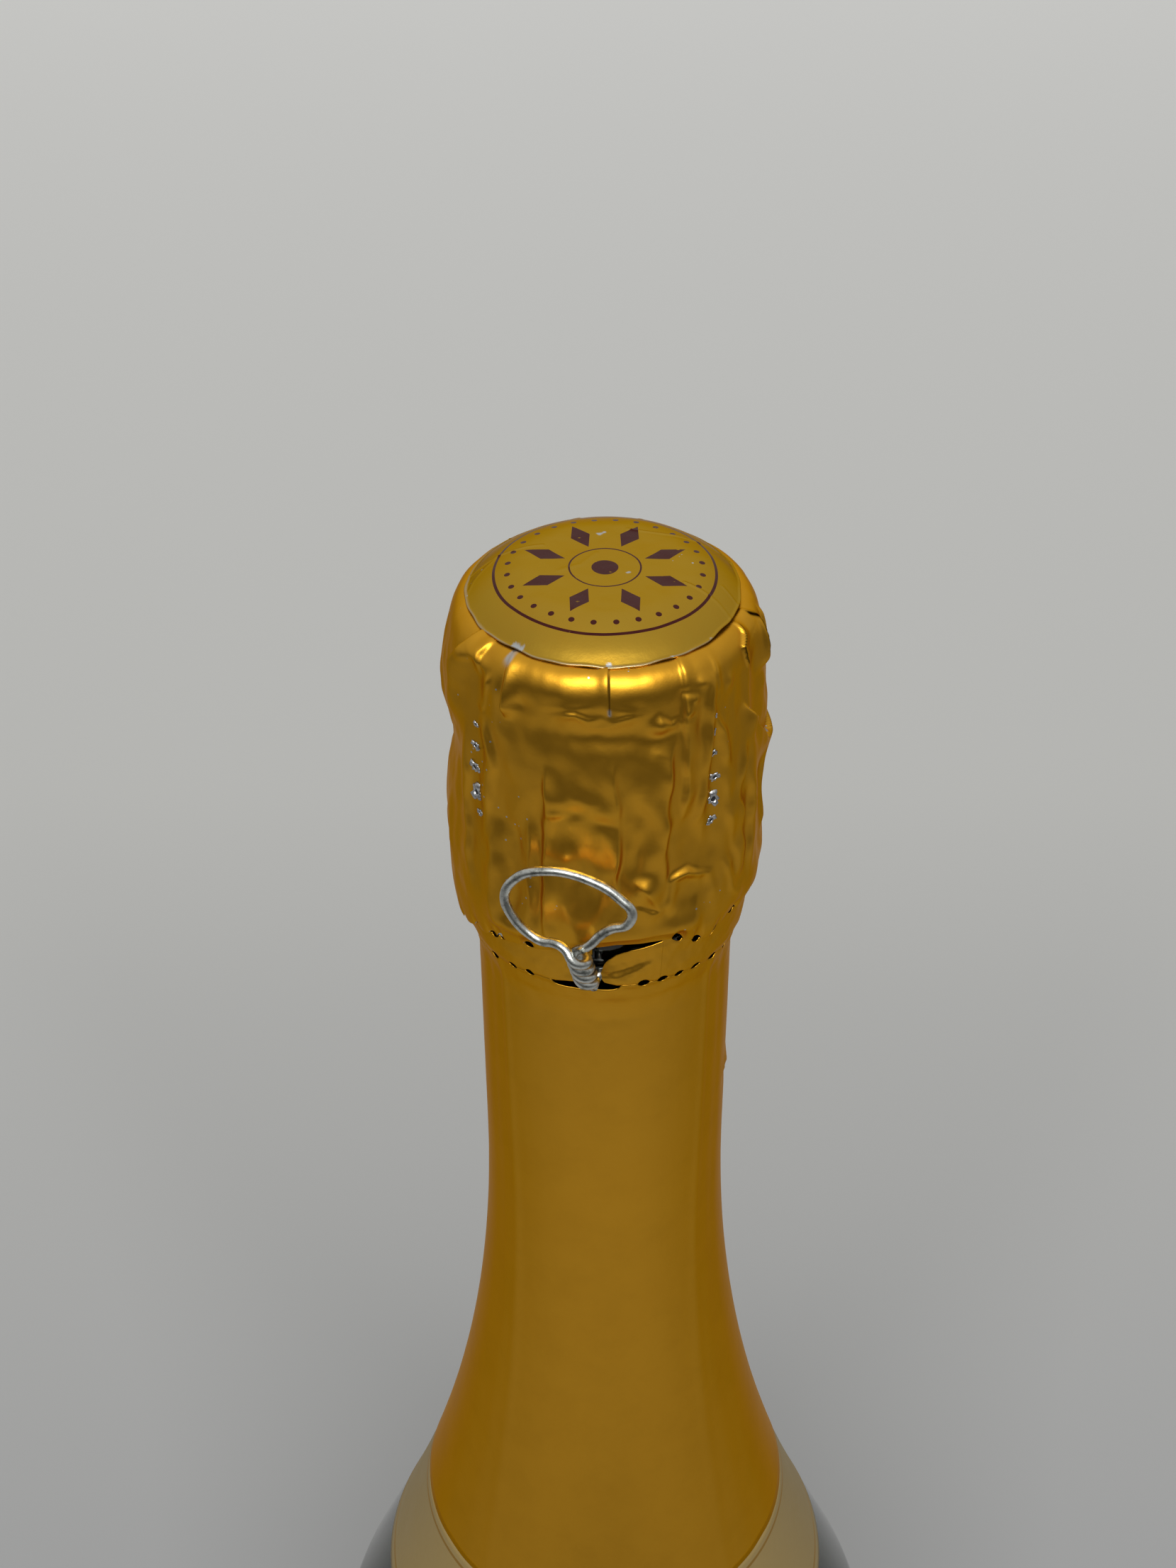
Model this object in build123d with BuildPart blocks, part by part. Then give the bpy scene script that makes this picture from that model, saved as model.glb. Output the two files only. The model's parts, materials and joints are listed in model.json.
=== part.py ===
from build123d import *
import math
import os

# Foil-topped sparkling wine bottle, 0.75 litre, standing on its base.
# Origin: centre of the base. +Z runs up the bottle, and the wire eyelet is on the -Y side.
# All lengths are in millimetres and all angles in degrees.

# Glass
glass_height = 302.0
body_radius = 44.5
neck_radius = 15.45
glass_wall = 3.1
base_wall = 5.0
shoulder_slope = 22.0            # angle between the sloping shoulder and the bottle's axis
shoulder_corner_drop = 118.0     # from the top of the glass to where the slope would meet the neck
shoulder_neck_round = 262.0
shoulder_body_round = 40.0
shoulder_room_share = 0.97       # of the sloping run, at most, taken up by its two rounds
heel_share = 0.94                # of the base outside the foot, taken up by the heel's rounding
cavity_heel_round = 6.0
cavity_foot_round = 4.0
foot_share = 0.742               # of the body's radius, to the middle of the ring that the bottle stands on
foot_width = 5.0
punt_depth = 24.0
punt_crown_radius = 12.0
punt_crown_round = 6.0

# Finish at the top of the glass
bore_radius = 8.75
bore_length = 32.0
bore_taper_length = 24.0
lip_radius = 14.3
lip_height = 6.5
lip_round = 2.0
lip_underside_round = 0.35
throat_radius = 13.4
throat_height = 9.5
ring_radius = 16.4               # the ring that holds the wire cage
ring_height = 8.0
ring_round = 1.0
ring_inner_round = 0.3
under_ring_radius = 14.9
under_ring_height = 9.0
under_ring_taper = 5.0

# Wine
fill_depth = 76.0                # from the top of the glass down to the wine

# Cork
cork_fit = 0.03
cork_depth = 24.0
cork_disc_height = 5.8
cork_seat_gap = 0.10
cork_head_height = 14.3
cork_head_radius = 15.3
cork_collar_radius = 14.6
cork_top_radius = 14.4
cork_head_round = 1.8

# Wire cage
wire_diameter = 1.15             # belt and eyelet
leg_diameter = 1.2
leg_count = 4
leg_first_azimuth = 45.0
cap_plate_thickness = 0.35
cap_plate_radius = 13.3
cap_plate_crown_radius = 10.9
cap_plate_crown_height = 2.6
cap_plate_gap = 0.05
ring_wire_diameter = 0.9
ring_wire_inset = 1.1            # from the cap plate's edge in to the middle of the ring wire
leg_seat_gap = 0.02
leg_side_gap = 0.08
leg_foot_gap = 0.25
leg_shoulder_round = 2.4
leg_hip_round = 18.0
leg_knee_round = 10.0
leg_foot_round = 1.0
belt_drop = 3.4                  # from the underside of the glass ring down to the belt

# Eyelet
eyelet_facing = -14.0            # azimuth of the direction that the loop faces, from the front
eyelet_side = 2.4                # the stem stands this far to the right of that direction
root_gap = 0.2                   # from the belt's bent ends to the two wire ends at the eyelet's root
root_ring_gap = 0.3              # from the glass ring out to those two wire ends, which lift past it
root_spread = 1.3                # between the middles of the two wire ends
root_reach = 1.40                # length of the two wire ends
root_to_bend = 1.0               # from the inner ends of the two wires out to the bend
eyelet_hinge_gap = 1.3           # from the bend to the first twisted turn
stem_lean = 28.5                 # the stem leans out by this angle from upright
stem_length = 8.0
stem_turns = 1.75
stem_helix_radius = 0.92
loop_gap = 0.85                  # from the widest part of the hood out to the loop
loop_width = 14.8
loop_height = 10.4
loop_foot_out = 1.1              # the loop leans back: its foot stands this much further out than its top
loop_cross_out = 0.80            # the loop's last bend stands out this far more, to pass over the stem
loop_cross_rise = 1.0
loop_stem_share = 0.60           # the stem meets the loop this far along its width
# The loop's outline, as shares of its width (from its left end) and of its height
loop_shares = [
    (0.84, 0.38), (0.97, 0.48), (1.00, 0.59), (0.87, 0.82), (0.62, 0.98), (0.34, 1.00),
    (0.12, 0.88), (0.00, 0.60), (0.08, 0.30), (0.25, 0.10), (0.48, 0.01),
]

# Foil hood
foil_thickness = 0.2
hood_crown_height = 3.0
hood_crown_radius = 12.1         # where the slope inside the disc's edge would meet the level top
hood_crown_round = 9.0
hood_disc_thickness = 0.3
hood_disc_seat = 0.05
hood_edge_inset = 2.2            # from the shoulder of the skirt in to the edge of the disc
hood_turn_in = 0.4
hood_shoulder_gap = 1.1          # from the legs beside the cork out to the skirt's shoulder
hood_side_gap = 1.6              # from those legs out to the middle of the skirt
hood_side_share = 0.69
hood_waist_gap = 1.45
hood_waist_share = 0.42
hood_bulge_gap = 1.1             # from the legs beside the glass ring out to the skirt
hood_bulge_share = 0.12
hood_hem_gap = 0.35              # from those legs out to the skirt's lower edge
hood_hem_rise = 4.3              # from the belt up to the skirt's lower edge
hood_rounds = [1.8, 12.0, 12.0, 3.0]

# Tear strip and neck foil
strip_gap = 0.3
strip_belt_gap = 1.2             # from the belt out to the strip
strip_flare = 0.45               # the strip's upper edge stands this much further out than its middle
strip_neck_gap = 0.6             # from the neck out to the strip's lower edge
strip_drop = 3.4                 # from the belt down to the strip's lower edge
strip_round = 4.0
neck_foil_length = 113.0
neck_foil_tuck = 4.0
neck_foil_tuck_round = 6.0
perforation_radius = 0.45
perforation_pitch = 11.25
perforation_gap_angle = 37.0     # the rows start this far to each side of the eyelet
perforation_count_each_side = 12
column_azimuths = (-53.0, 42.0)
column_hole_radius = 0.55
column_hole_pitch = 3.3
column_hole_count = 6
column_rise = 22.6               # from the skirt's lower edge up to the middle of the columns

# Window in the tear strip, round the eyelet's root, and the tab beside it
window_radius = 3.2
window_overlap = 6.0
window_slot_height = 1.5
slot_left_azimuth = -24.0
slot_right_azimuth = 6.5
tab_free_azimuth = 3.0
tab_root_azimuth = 25.0
tab_height = 4.2
tab_inset = 0.1
tab_gap = 0.3
tab_gap_angle = 1.0
tab_corner_round = 0.6

# Paper labels
label_thickness = 0.15
collar_height = 21.0
front_label_span = 100.0         # angle round the body
front_label_height = 66.0
back_label_span = 72.0
back_label_height = 50.0
label_rise = 18.0                # from the base up to the labels' lower edges

# Small distances that more than one piece uses
skin_gap = 0.08                  # from the glass to the foil and paper that lie on it
overrun = 5.0                    # cuts run this far past an edge
quarter_turn = 90.0
near_along_wire = 3.0            # wire this many diameters further along is measured for the least gap

# Glass sizes worked out from the ones above
slope_tan = math.tan(math.radians(shoulder_slope))
half_slope_tan = math.tan(math.radians(shoulder_slope / 2))
shoulder_corner_z = glass_height - shoulder_corner_drop
shoulder_body_z = shoulder_corner_z - (body_radius - neck_radius) / slope_tan
shoulder_run = (body_radius - neck_radius) / math.sin(math.radians(shoulder_slope))
shoulder_room = shoulder_run * shoulder_room_share / half_slope_tan - shoulder_body_round
neck_round = min(shoulder_neck_round, shoulder_room)
ring_top_z = glass_height - lip_height - throat_height
ring_bottom_z = ring_top_z - ring_height
under_ring_z = ring_bottom_z - under_ring_height
foot_radius = body_radius * foot_share
foot_outer_radius = foot_radius + foot_width / 2
heel_round = (body_radius - foot_outer_radius) * heel_share
cavity_top_z = glass_height - bore_length
fill_z = glass_height - fill_depth

# Cork and cage
cork_radius = bore_radius - cork_fit
cork_bottom_z = glass_height - cork_depth
cork_joint_z = cork_bottom_z + 2 * cork_disc_height
cork_head_z = glass_height + cork_seat_gap
cork_top_z = cork_head_z + cork_head_height
cap_plate_z = cork_top_z + cap_plate_gap
cap_plate_top_z = cap_plate_z + cap_plate_thickness
ring_wire_radius = cap_plate_radius - ring_wire_inset
ring_wire_z = cap_plate_top_z + ring_wire_diameter / 2
wire_radius = wire_diameter / 2
leg_radius = leg_diameter / 2
leg_side_radius = cork_head_radius + leg_radius + leg_side_gap
leg_ring_radius = ring_radius + leg_radius + leg_seat_gap
belt_z = ring_bottom_z - belt_drop
belt_radius = under_ring_radius + wire_radius + leg_seat_gap
belt_outer_radius = belt_radius + wire_radius

# Hood, strip and neck foil
disc_under_z = ring_wire_z + ring_wire_diameter / 2 + hood_disc_seat
hood_top_z = disc_under_z + hood_disc_thickness
hood_hem_z = belt_z + hood_hem_rise
hood_shoulder_radius = leg_side_radius + leg_radius + foil_thickness + hood_shoulder_gap
hood_edge_radius = hood_shoulder_radius - hood_edge_inset
hood_side_radius = leg_side_radius + leg_radius + foil_thickness + hood_side_gap
hood_waist_radius = leg_side_radius + leg_radius + foil_thickness + hood_waist_gap
hood_bulge_radius = leg_ring_radius + leg_radius + foil_thickness + hood_bulge_gap
hood_hem_radius = leg_ring_radius + leg_radius + foil_thickness + hood_hem_gap
strip_top_z = hood_hem_z - strip_gap
strip_bottom_z = belt_z - strip_drop
strip_middle_radius = belt_outer_radius + foil_thickness + strip_belt_gap
strip_top_radius = strip_middle_radius + strip_flare
strip_bottom_radius = neck_radius + foil_thickness + strip_neck_gap
tab_radius = strip_middle_radius - tab_inset
tab_top_z = strip_top_z - tab_gap
tab_bottom_z = tab_top_z - tab_height
slot_bottom_z = strip_bottom_z + tab_gap
neck_foil_bottom_z = strip_bottom_z - neck_foil_length

# Eyelet
root_base_reach = ring_radius + root_ring_gap
belt_end_reach = root_base_reach - root_gap
belt_side_reach = math.sqrt(belt_radius ** 2 - eyelet_side ** 2)
eyelet_hinge_reach = root_base_reach + root_to_bend
loop_reach = hood_bulge_radius + loop_gap + wire_radius


def shoulder_corners(thickness):
    # Corners of the neck, slope and body line, moved outwards by a thickness (inwards if negative).
    drop = thickness * half_slope_tan
    return ((neck_radius + thickness, shoulder_corner_z + drop),
            (body_radius + thickness, shoulder_body_z + drop))


def skin_solid(thickness, above, round_above):
    # Solid of revolution inside a skin that follows the neck and the shoulder, down to the body.
    upper_corner, lower_corner = shoulder_corners(thickness)
    with BuildPart(mode=Mode.PRIVATE) as skin:
        with BuildSketch(Plane.XZ):
            with BuildLine():
                wall = FilletPolyline(
                    *above, upper_corner, lower_corner, (lower_corner[0], 0),
                    radius=[*round_above, neck_round - thickness, shoulder_body_round + thickness],
                )
                Polyline(wall @ 1, (0, 0), (0, above[0][1]), wall @ 0)
            make_face()
        revolve(axis=Axis.Z)
    return skin.part


def thin_band(outer_points, rounds, turned_in):
    # Thin turned foil: outer line given from top to bottom, inner line one foil thickness inside it.
    # A turned-in band starts with a level flange.
    inner_points = [(r - foil_thickness, z) for r, z in outer_points]
    if turned_in:
        flange_z = outer_points[0][1] - foil_thickness
        inner_points[:2] = [(outer_points[0][0], flange_z), (inner_points[1][0], flange_z)]
    with BuildPart(mode=Mode.PRIVATE) as band:
        with BuildSketch(Plane.XZ):
            with BuildLine():
                outside = FilletPolyline(*outer_points, radius=rounds)
                inside = FilletPolyline(*inner_points, radius=rounds)
                Line(outside @ 0, inside @ 0)
                Line(outside @ 1, inside @ 1)
            make_face()
        revolve(axis=Axis.Z)
    return band.part


def radial_plane(azimuth, z, reach=0.0):
    # Plane that faces outwards at an azimuth measured from the front, positive to the right.
    angle = math.radians(azimuth)
    facing = (math.sin(angle), -math.cos(angle), 0)
    sideways = (math.cos(angle), math.sin(angle), 0)
    origin = (reach * facing[0], reach * facing[1], z)
    return Plane(origin=origin, x_dir=sideways, z_dir=facing)


def radial_pin(azimuth, z, radius):
    # Pin from the bottle's axis outwards, used to punch a hole in a skin.
    with BuildPart(mode=Mode.PRIVATE) as pin:
        with BuildSketch(radial_plane(azimuth, z)):
            Circle(radius)
        extrude(amount=body_radius)
    return pin.part


def wedge(azimuths, heights, radii):
    # Block between two azimuths, two heights and two radii round the bottle's axis.
    facing = radial_plane(azimuths[0], 0)
    with BuildPart(mode=Mode.PRIVATE) as block:
        with BuildSketch(Plane(origin=(0, 0, 0), x_dir=facing.z_dir, z_dir=-facing.x_dir)):
            with BuildLine():
                Polyline((radii[0], heights[0]), (radii[1], heights[0]), (radii[1], heights[1]),
                         (radii[0], heights[1]), close=True)
            make_face()
        revolve(axis=Axis.Z, revolution_arc=azimuths[1] - azimuths[0])
    return block.part


# Cavity of the bottle, from the bottom of the bore down to the punt
cavity_neck, cavity_body = shoulder_corners(-glass_wall)
cavity_points = [
    (bore_radius, cavity_top_z),
    (cavity_neck[0], cavity_top_z - bore_taper_length),
    cavity_neck,
    cavity_body,
    (body_radius - glass_wall, base_wall),
    (foot_radius - foot_width / 2, base_wall),
    (punt_crown_radius, punt_depth + base_wall),
    (0, punt_depth + base_wall),
]
cavity_rounds = [bore_taper_length, neck_round + glass_wall, shoulder_body_round - glass_wall,
                 cavity_heel_round, cavity_foot_round, punt_crown_round]

# Glass bottle: outer skin, punt, cavity and bore
neck_corner, body_corner = shoulder_corners(0)
with BuildPart() as glass_bottle:
    with BuildSketch(Plane.XZ):
        with BuildLine():
            side = FilletPolyline(
                (under_ring_radius, under_ring_z),
                (neck_radius, under_ring_z - under_ring_taper),
                neck_corner,
                body_corner,
                (body_radius, 0),
                (foot_outer_radius, 0),
                radius=[under_ring_taper, neck_round, shoulder_body_round, heel_round],
            )
            foot = Line(side @ 1, (foot_radius - foot_width / 2, 0))
            punt = FilletPolyline(
                foot @ 1,
                (punt_crown_radius, punt_depth),
                (0, punt_depth),
                radius=[punt_crown_round],
            )
            Polyline(punt @ 1, (0, under_ring_z), side @ 0)
        make_face()
    revolve(axis=Axis.Z)
    with BuildSketch(Plane.XZ):
        with BuildLine():
            finish = FilletPolyline(
                (under_ring_radius, under_ring_z),
                (under_ring_radius, ring_bottom_z),
                (ring_radius, ring_bottom_z),
                (ring_radius, ring_top_z),
                (throat_radius, ring_top_z),
                (throat_radius, ring_top_z + throat_height),
                (lip_radius, ring_top_z + throat_height),
                (lip_radius, glass_height),
                (0, glass_height),
                radius=[ring_inner_round, ring_round, ring_round, ring_round,
                        lip_underside_round, lip_underside_round, lip_round],
            )
            Polyline(finish @ 1, (0, under_ring_z), finish @ 0)
        make_face()
    revolve(axis=Axis.Z)
    with BuildSketch(Plane.XZ):
        with BuildLine():
            cavity = FilletPolyline(*cavity_points, radius=cavity_rounds)
            Polyline(cavity @ 1, (0, cavity_top_z), cavity @ 0)
        make_face()
    revolve(axis=Axis.Z, mode=Mode.SUBTRACT)
    with Locations((0, 0, cavity_top_z)):
        Cylinder(bore_radius, bore_length + overrun,
                 align=(Align.CENTER, Align.CENTER, Align.MIN), mode=Mode.SUBTRACT)
glass_bottle.part.label = "glass_bottle"

# Wine: the cavity's own shape, cut off at the fill level
with BuildPart() as wine:
    with BuildSketch(Plane.XZ):
        with BuildLine():
            liquid = FilletPolyline(*cavity_points, radius=cavity_rounds)
            Polyline(liquid @ 1, (0, cavity_top_z), liquid @ 0)
        make_face()
    revolve(axis=Axis.Z)
    split(bisect_by=Plane.XY.offset(fill_z), keep=Keep.BOTTOM)
wine.part.label = "wine"

# Cork: one agglomerated body with two cork discs under it
with BuildPart() as cork_body:
    with BuildSketch(Plane.XZ):
        with BuildLine():
            outline = FilletPolyline(
                (0, cork_joint_z),
                (cork_radius, cork_joint_z),
                (cork_radius, cork_head_z),
                (cork_collar_radius, cork_head_z),
                (cork_head_radius, cork_head_z + cork_head_height / 2),
                (cork_top_radius, cork_top_z),
                (0, cork_top_z),
                radius=[0, 0, cork_head_round, cork_head_height, cork_head_round],
            )
            Line(outline @ 1, outline @ 0)
        make_face()
    revolve(axis=Axis.Z)
cork_body.part.label = "cork_body"

cork_discs = []
for index, name in enumerate(("cork_disc_lower", "cork_disc_upper")):
    with BuildPart(Plane.XY.offset(cork_bottom_z + index * cork_disc_height)) as cork_disc:
        Cylinder(cork_radius, cork_disc_height, align=(Align.CENTER, Align.CENTER, Align.MIN))
    cork_disc.part.label = name
    cork_discs.append(cork_disc)

# Wire cage: cap plate, ring wire, four legs and the belt under the glass ring
with BuildPart() as cage_cap:
    with BuildSketch(Plane.XZ):
        with BuildLine():
            crown_z = cap_plate_z + cap_plate_crown_height
            lower = Polyline(
                (cap_plate_radius, cap_plate_z),
                (cap_plate_crown_radius, cap_plate_z),
                (cap_plate_crown_radius - cap_plate_crown_height, crown_z),
                (0, crown_z),
            )
            Polyline(
                lower @ 1,
                (0, crown_z + cap_plate_thickness),
                (cap_plate_crown_radius - cap_plate_crown_height, crown_z + cap_plate_thickness),
                (cap_plate_crown_radius, cap_plate_z + cap_plate_thickness),
                (cap_plate_radius, cap_plate_z + cap_plate_thickness),
                lower @ 0,
            )
        make_face()
    revolve(axis=Axis.Z)
cage_cap.part.label = "cage_cap"

with BuildPart(Plane.XY.offset(ring_wire_z)) as cage_ring_wire:
    Torus(ring_wire_radius, ring_wire_diameter / 2)
cage_ring_wire.part.label = "cage_ring_wire"

leg_start = (cap_plate_radius + leg_seat_gap, cork_top_z + leg_radius + leg_seat_gap)
cage_legs = []
for index in range(leg_count):
    azimuth = leg_first_azimuth + index * 360 / leg_count
    spoke_plane = radial_plane(azimuth, 0)
    leg_plane = Plane(origin=(0, 0, 0), x_dir=spoke_plane.z_dir, z_dir=-spoke_plane.x_dir)
    with BuildPart() as cage_leg:
        with BuildLine(leg_plane) as leg_path:
            FilletPolyline(
                leg_start,
                (leg_side_radius, leg_start[1]),
                (leg_side_radius, cork_head_z + leg_diameter),
                (leg_ring_radius, ring_top_z),
                (leg_ring_radius, ring_bottom_z - ring_inner_round),
                (belt_radius, belt_z + wire_radius + leg_foot_gap),
                radius=[leg_shoulder_round, leg_hip_round, leg_knee_round, leg_foot_round],
            )
        with BuildSketch(Plane(origin=leg_path.line @ 0, z_dir=leg_path.line % 0)):
            Circle(leg_radius)
        sweep()
    cage_leg.part.label = f"cage_leg_{index + 1}"
    cage_legs.append(cage_leg)

# The belt's two ends are bent outwards, side by side, towards the eyelet's root
with BuildPart(Plane.XY.offset(belt_z)) as belt_wire:
    Torus(belt_radius, wire_radius)
    with BuildSketch(radial_plane(eyelet_facing, belt_z, belt_side_reach)):
        with Locations((eyelet_side - root_spread / 2, 0), (eyelet_side + root_spread / 2, 0)):
            Circle(wire_radius)
    extrude(amount=belt_end_reach - belt_side_reach)
belt_wire.part.label = "belt_wire"


# Eyelet: the two belt ends come out through the foil, are twisted together and open into a loop
def eyelet_point(side, reach, z):
    # Place in the eyelet's own directions: to its right, out from the bottle's axis, and up.
    facing = radial_plane(eyelet_facing, z)
    return facing.origin + facing.x_dir * side + facing.z_dir * reach


def biarc(start, start_dir, end, end_dir):
    # Two arcs that leave one point along its direction and reach the next along its own.
    chord = end - start
    spread = 2 * (1 - start_dir.dot(end_dir))
    lean = chord.dot(start_dir + end_dir)
    reach = (math.sqrt(lean * lean + spread * chord.dot(chord)) - lean) / spread
    before = start + start_dir * reach
    after = end - end_dir * reach
    middle = (before + after) * 0.5
    TangentArc(start, middle, tangent=start_dir)
    TangentArc(middle, end, tangent=(after - before).normalized())


facing_plane = radial_plane(eyelet_facing, belt_z)
eyelet_out = facing_plane.z_dir
eyelet_right = facing_plane.x_dir
eyelet_up = Vector(0, 0, 1)
eyelet_hinge = eyelet_point(eyelet_side, eyelet_hinge_reach, belt_z)
lean_angle = math.radians(stem_lean)
stem_dir = eyelet_out * math.sin(lean_angle) + eyelet_up * math.cos(lean_angle)
stem_front = eyelet_out * math.cos(lean_angle) - eyelet_up * math.sin(lean_angle)
stem_pitch = stem_length / stem_turns
stem_foot = eyelet_hinge + stem_dir * eyelet_hinge_gap
stem_head = stem_foot + stem_dir * stem_length


def strand_points(head_angle):
    # Points and directions of one twisted strand, from the foot up, at every quarter turn.
    steps = round(stem_turns * 360 / quarter_turn)
    places = []
    for step in range(steps + 1):
        turn = head_angle - (steps - step) * quarter_turn
        cos_turn, sin_turn = math.cos(math.radians(turn)), math.sin(math.radians(turn))
        centre = stem_foot + stem_dir * (stem_length * step / steps)
        place = centre + (eyelet_right * cos_turn + stem_front * sin_turn) * stem_helix_radius
        along = (stem_dir * (stem_pitch / (2 * math.pi))
                 + (stem_front * cos_turn - eyelet_right * sin_turn) * stem_helix_radius)
        places.append((place, along.normalized()))
    return places


loop_left = eyelet_side - loop_stem_share * loop_width
loop_places = [
    eyelet_point(loop_left + x_share * loop_width, loop_reach + loop_foot_out * (1 - z_share),
                 stem_head.Z + z_share * loop_height)
    for x_share, z_share in loop_shares
]
loop_places[-1] += eyelet_out * loop_cross_out + eyelet_up * loop_cross_rise
rising = strand_points(-quarter_turn)
falling = [(place, along * -1) for place, along in reversed(strand_points(quarter_turn))]
bends = [rising[-1][0], *loop_places, falling[0][0]]
loop_run = []
for before, here, after in zip(bends, bends[1:], bends[2:]):
    first, second = here - before, after - here
    along = first * (second.length / first.length) + second * (first.length / second.length)
    loop_run.append((here, along.normalized()))
wire_run = [*rising, *loop_run, *falling]

with BuildPart() as eyelet_loop:
    with BuildLine() as eyelet_path:
        for (start, start_dir), (end, end_dir) in zip(wire_run, wire_run[1:]):
            biarc(start, start_dir, end, end_dir)
    with BuildSketch(Plane(origin=wire_run[0][0], z_dir=wire_run[0][1])):
        Circle(wire_radius)
    sweep()
eyelet_loop.part.label = "eyelet_loop"

# Least gap between the wire and itself, measured on points along its path
wire_length = eyelet_path.wires()[0].length
sample_step = wire_radius / 2
samples = [eyelet_path.wires()[0].position_at(i * sample_step / wire_length)
           for i in range(int(wire_length / sample_step) + 1)]
apart = round(near_along_wire * wire_diameter / sample_step)
least_gap = min(
    (samples[i] - samples[j]).length - wire_diameter
    for i in range(len(samples)) for j in range(i + apart, len(samples))
)
print("eyelet wire: length", round(wire_length, 2), "least gap to itself", round(least_gap, 3))
print("eyelet wire: volume", round(eyelet_loop.part.volume, 3),
      "section times length", round(math.pi * wire_radius ** 2 * wire_length, 3))

# Root of the eyelet: the two belt ends, side by side, between the belt and the bend
with BuildPart() as eyelet_root:
    with BuildSketch(radial_plane(eyelet_facing, belt_z, root_base_reach)):
        with Locations((eyelet_side - root_spread / 2, 0), (eyelet_side + root_spread / 2, 0)):
            Circle(wire_radius)
    extrude(amount=root_reach)
eyelet_root.part.label = "eyelet_root"

# Foil hood: a raised disc on top and a turned skirt down to the tear strip
with BuildPart() as hood_disc:
    with BuildSketch(Plane.XZ):
        with BuildLine():
            over, under = (
                FilletPolyline((0, edge_z + hood_crown_height),
                               (hood_crown_radius, edge_z + hood_crown_height),
                               (hood_edge_radius, edge_z), radius=[hood_crown_round])
                for edge_z in (hood_top_z, disc_under_z)
            )
            Line(over @ 0, under @ 0)
            Line(over @ 1, under @ 1)
        make_face()
    revolve(axis=Axis.Z)
hood_disc.part.label = "hood_disc"

skirt_top_z = disc_under_z - hood_disc_seat
skirt_height = skirt_top_z - hood_hem_z
skirt_points = [
    (hood_edge_radius - hood_turn_in, skirt_top_z),
    (hood_shoulder_radius, skirt_top_z),
    (hood_side_radius, hood_hem_z + skirt_height * hood_side_share),
    (hood_waist_radius, hood_hem_z + skirt_height * hood_waist_share),
    (hood_bulge_radius, hood_hem_z + skirt_height * hood_bulge_share),
    (hood_hem_radius, hood_hem_z),
]
row_azimuths = [
    eyelet_facing + side * (perforation_gap_angle + step * perforation_pitch)
    for side in (-1, 1) for step in range(perforation_count_each_side)
]
column_heights = [
    hood_hem_z + column_rise + (step - (column_hole_count - 1) / 2) * column_hole_pitch
    for step in range(column_hole_count)
]
with BuildPart() as hood_skirt:
    add(thin_band(skirt_points, hood_rounds, True))
    for azimuth in column_azimuths:
        for z in column_heights:
            add(radial_pin(azimuth, z, column_hole_radius), mode=Mode.SUBTRACT)
    for azimuth in row_azimuths:
        add(radial_pin(azimuth, hood_hem_z, perforation_radius), mode=Mode.SUBTRACT)
hood_skirt.part.label = "hood_skirt"

# Tear strip: covers the belt between the two rows of perforations, and is open round the eyelet
strip_points = [
    (strip_top_radius, strip_top_z),
    (strip_middle_radius, belt_z),
    (strip_bottom_radius, strip_bottom_z),
]
window_rise = strip_top_z - belt_z + overrun
with BuildPart() as tear_strip:
    add(thin_band(strip_points, [strip_round], False))
    with BuildSketch(facing_plane):
        with Locations((eyelet_side, 0)):
            Circle(window_radius)
        with Locations((eyelet_side, window_rise / 2)):
            Rectangle(2 * window_radius, window_rise)
    extrude(amount=body_radius, mode=Mode.SUBTRACT)
    add(wedge((tab_free_azimuth - window_overlap, tab_root_azimuth), (tab_bottom_z - tab_gap, hood_hem_z),
              (neck_radius, body_radius)), mode=Mode.SUBTRACT)
    add(wedge((slot_left_azimuth, slot_right_azimuth), (slot_bottom_z, slot_bottom_z + window_slot_height),
              (neck_radius, body_radius)), mode=Mode.SUBTRACT)
    for azimuth in row_azimuths:
        add(radial_pin(azimuth, hood_hem_z, perforation_radius), mode=Mode.SUBTRACT)
        add(radial_pin(azimuth, strip_bottom_z, perforation_radius), mode=Mode.SUBTRACT)
tear_strip.part.label = "tear_strip"

# Pull tab at the start of the tear strip, right of the eyelet
with BuildPart() as tear_tab:
    add(wedge((tab_free_azimuth, tab_root_azimuth - tab_gap_angle), (tab_bottom_z, tab_top_z),
              (tab_radius - foil_thickness, tab_radius)))
    fillet(tear_tab.edges().group_by(SortBy.LENGTH)[0], tab_corner_round)
tear_tab.part.label = "tear_tab"

# Neck foil: from the tear strip down the neck and on to the shoulder
with BuildPart() as neck_foil:
    for thickness, edge_radius, mode in (
        (skin_gap + foil_thickness, strip_bottom_radius, Mode.ADD),
        (skin_gap, strip_bottom_radius - foil_thickness, Mode.SUBTRACT),
    ):
        add(skin_solid(thickness, [(edge_radius, strip_bottom_z),
                                   (neck_radius + thickness, strip_bottom_z - neck_foil_tuck)],
                       [neck_foil_tuck_round]), mode=mode)
    split(bisect_by=Plane.XY.offset(neck_foil_bottom_z), keep=Keep.TOP)
    for azimuth in row_azimuths:
        add(radial_pin(azimuth, strip_bottom_z, perforation_radius), mode=Mode.SUBTRACT)
neck_foil.part.label = "neck_foil"

# Paper collar under the neck foil's lower edge, right round the shoulder
with BuildPart() as collar_label:
    for thickness, mode in ((skin_gap + label_thickness, Mode.ADD), (skin_gap, Mode.SUBTRACT)):
        add(skin_solid(thickness, [(neck_radius + thickness, strip_bottom_z)], []), mode=mode)
    split(bisect_by=Plane.XY.offset(neck_foil_bottom_z), keep=Keep.BOTTOM)
    split(bisect_by=Plane.XY.offset(neck_foil_bottom_z - collar_height), keep=Keep.TOP)
collar_label.part.label = "collar_label"

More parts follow.
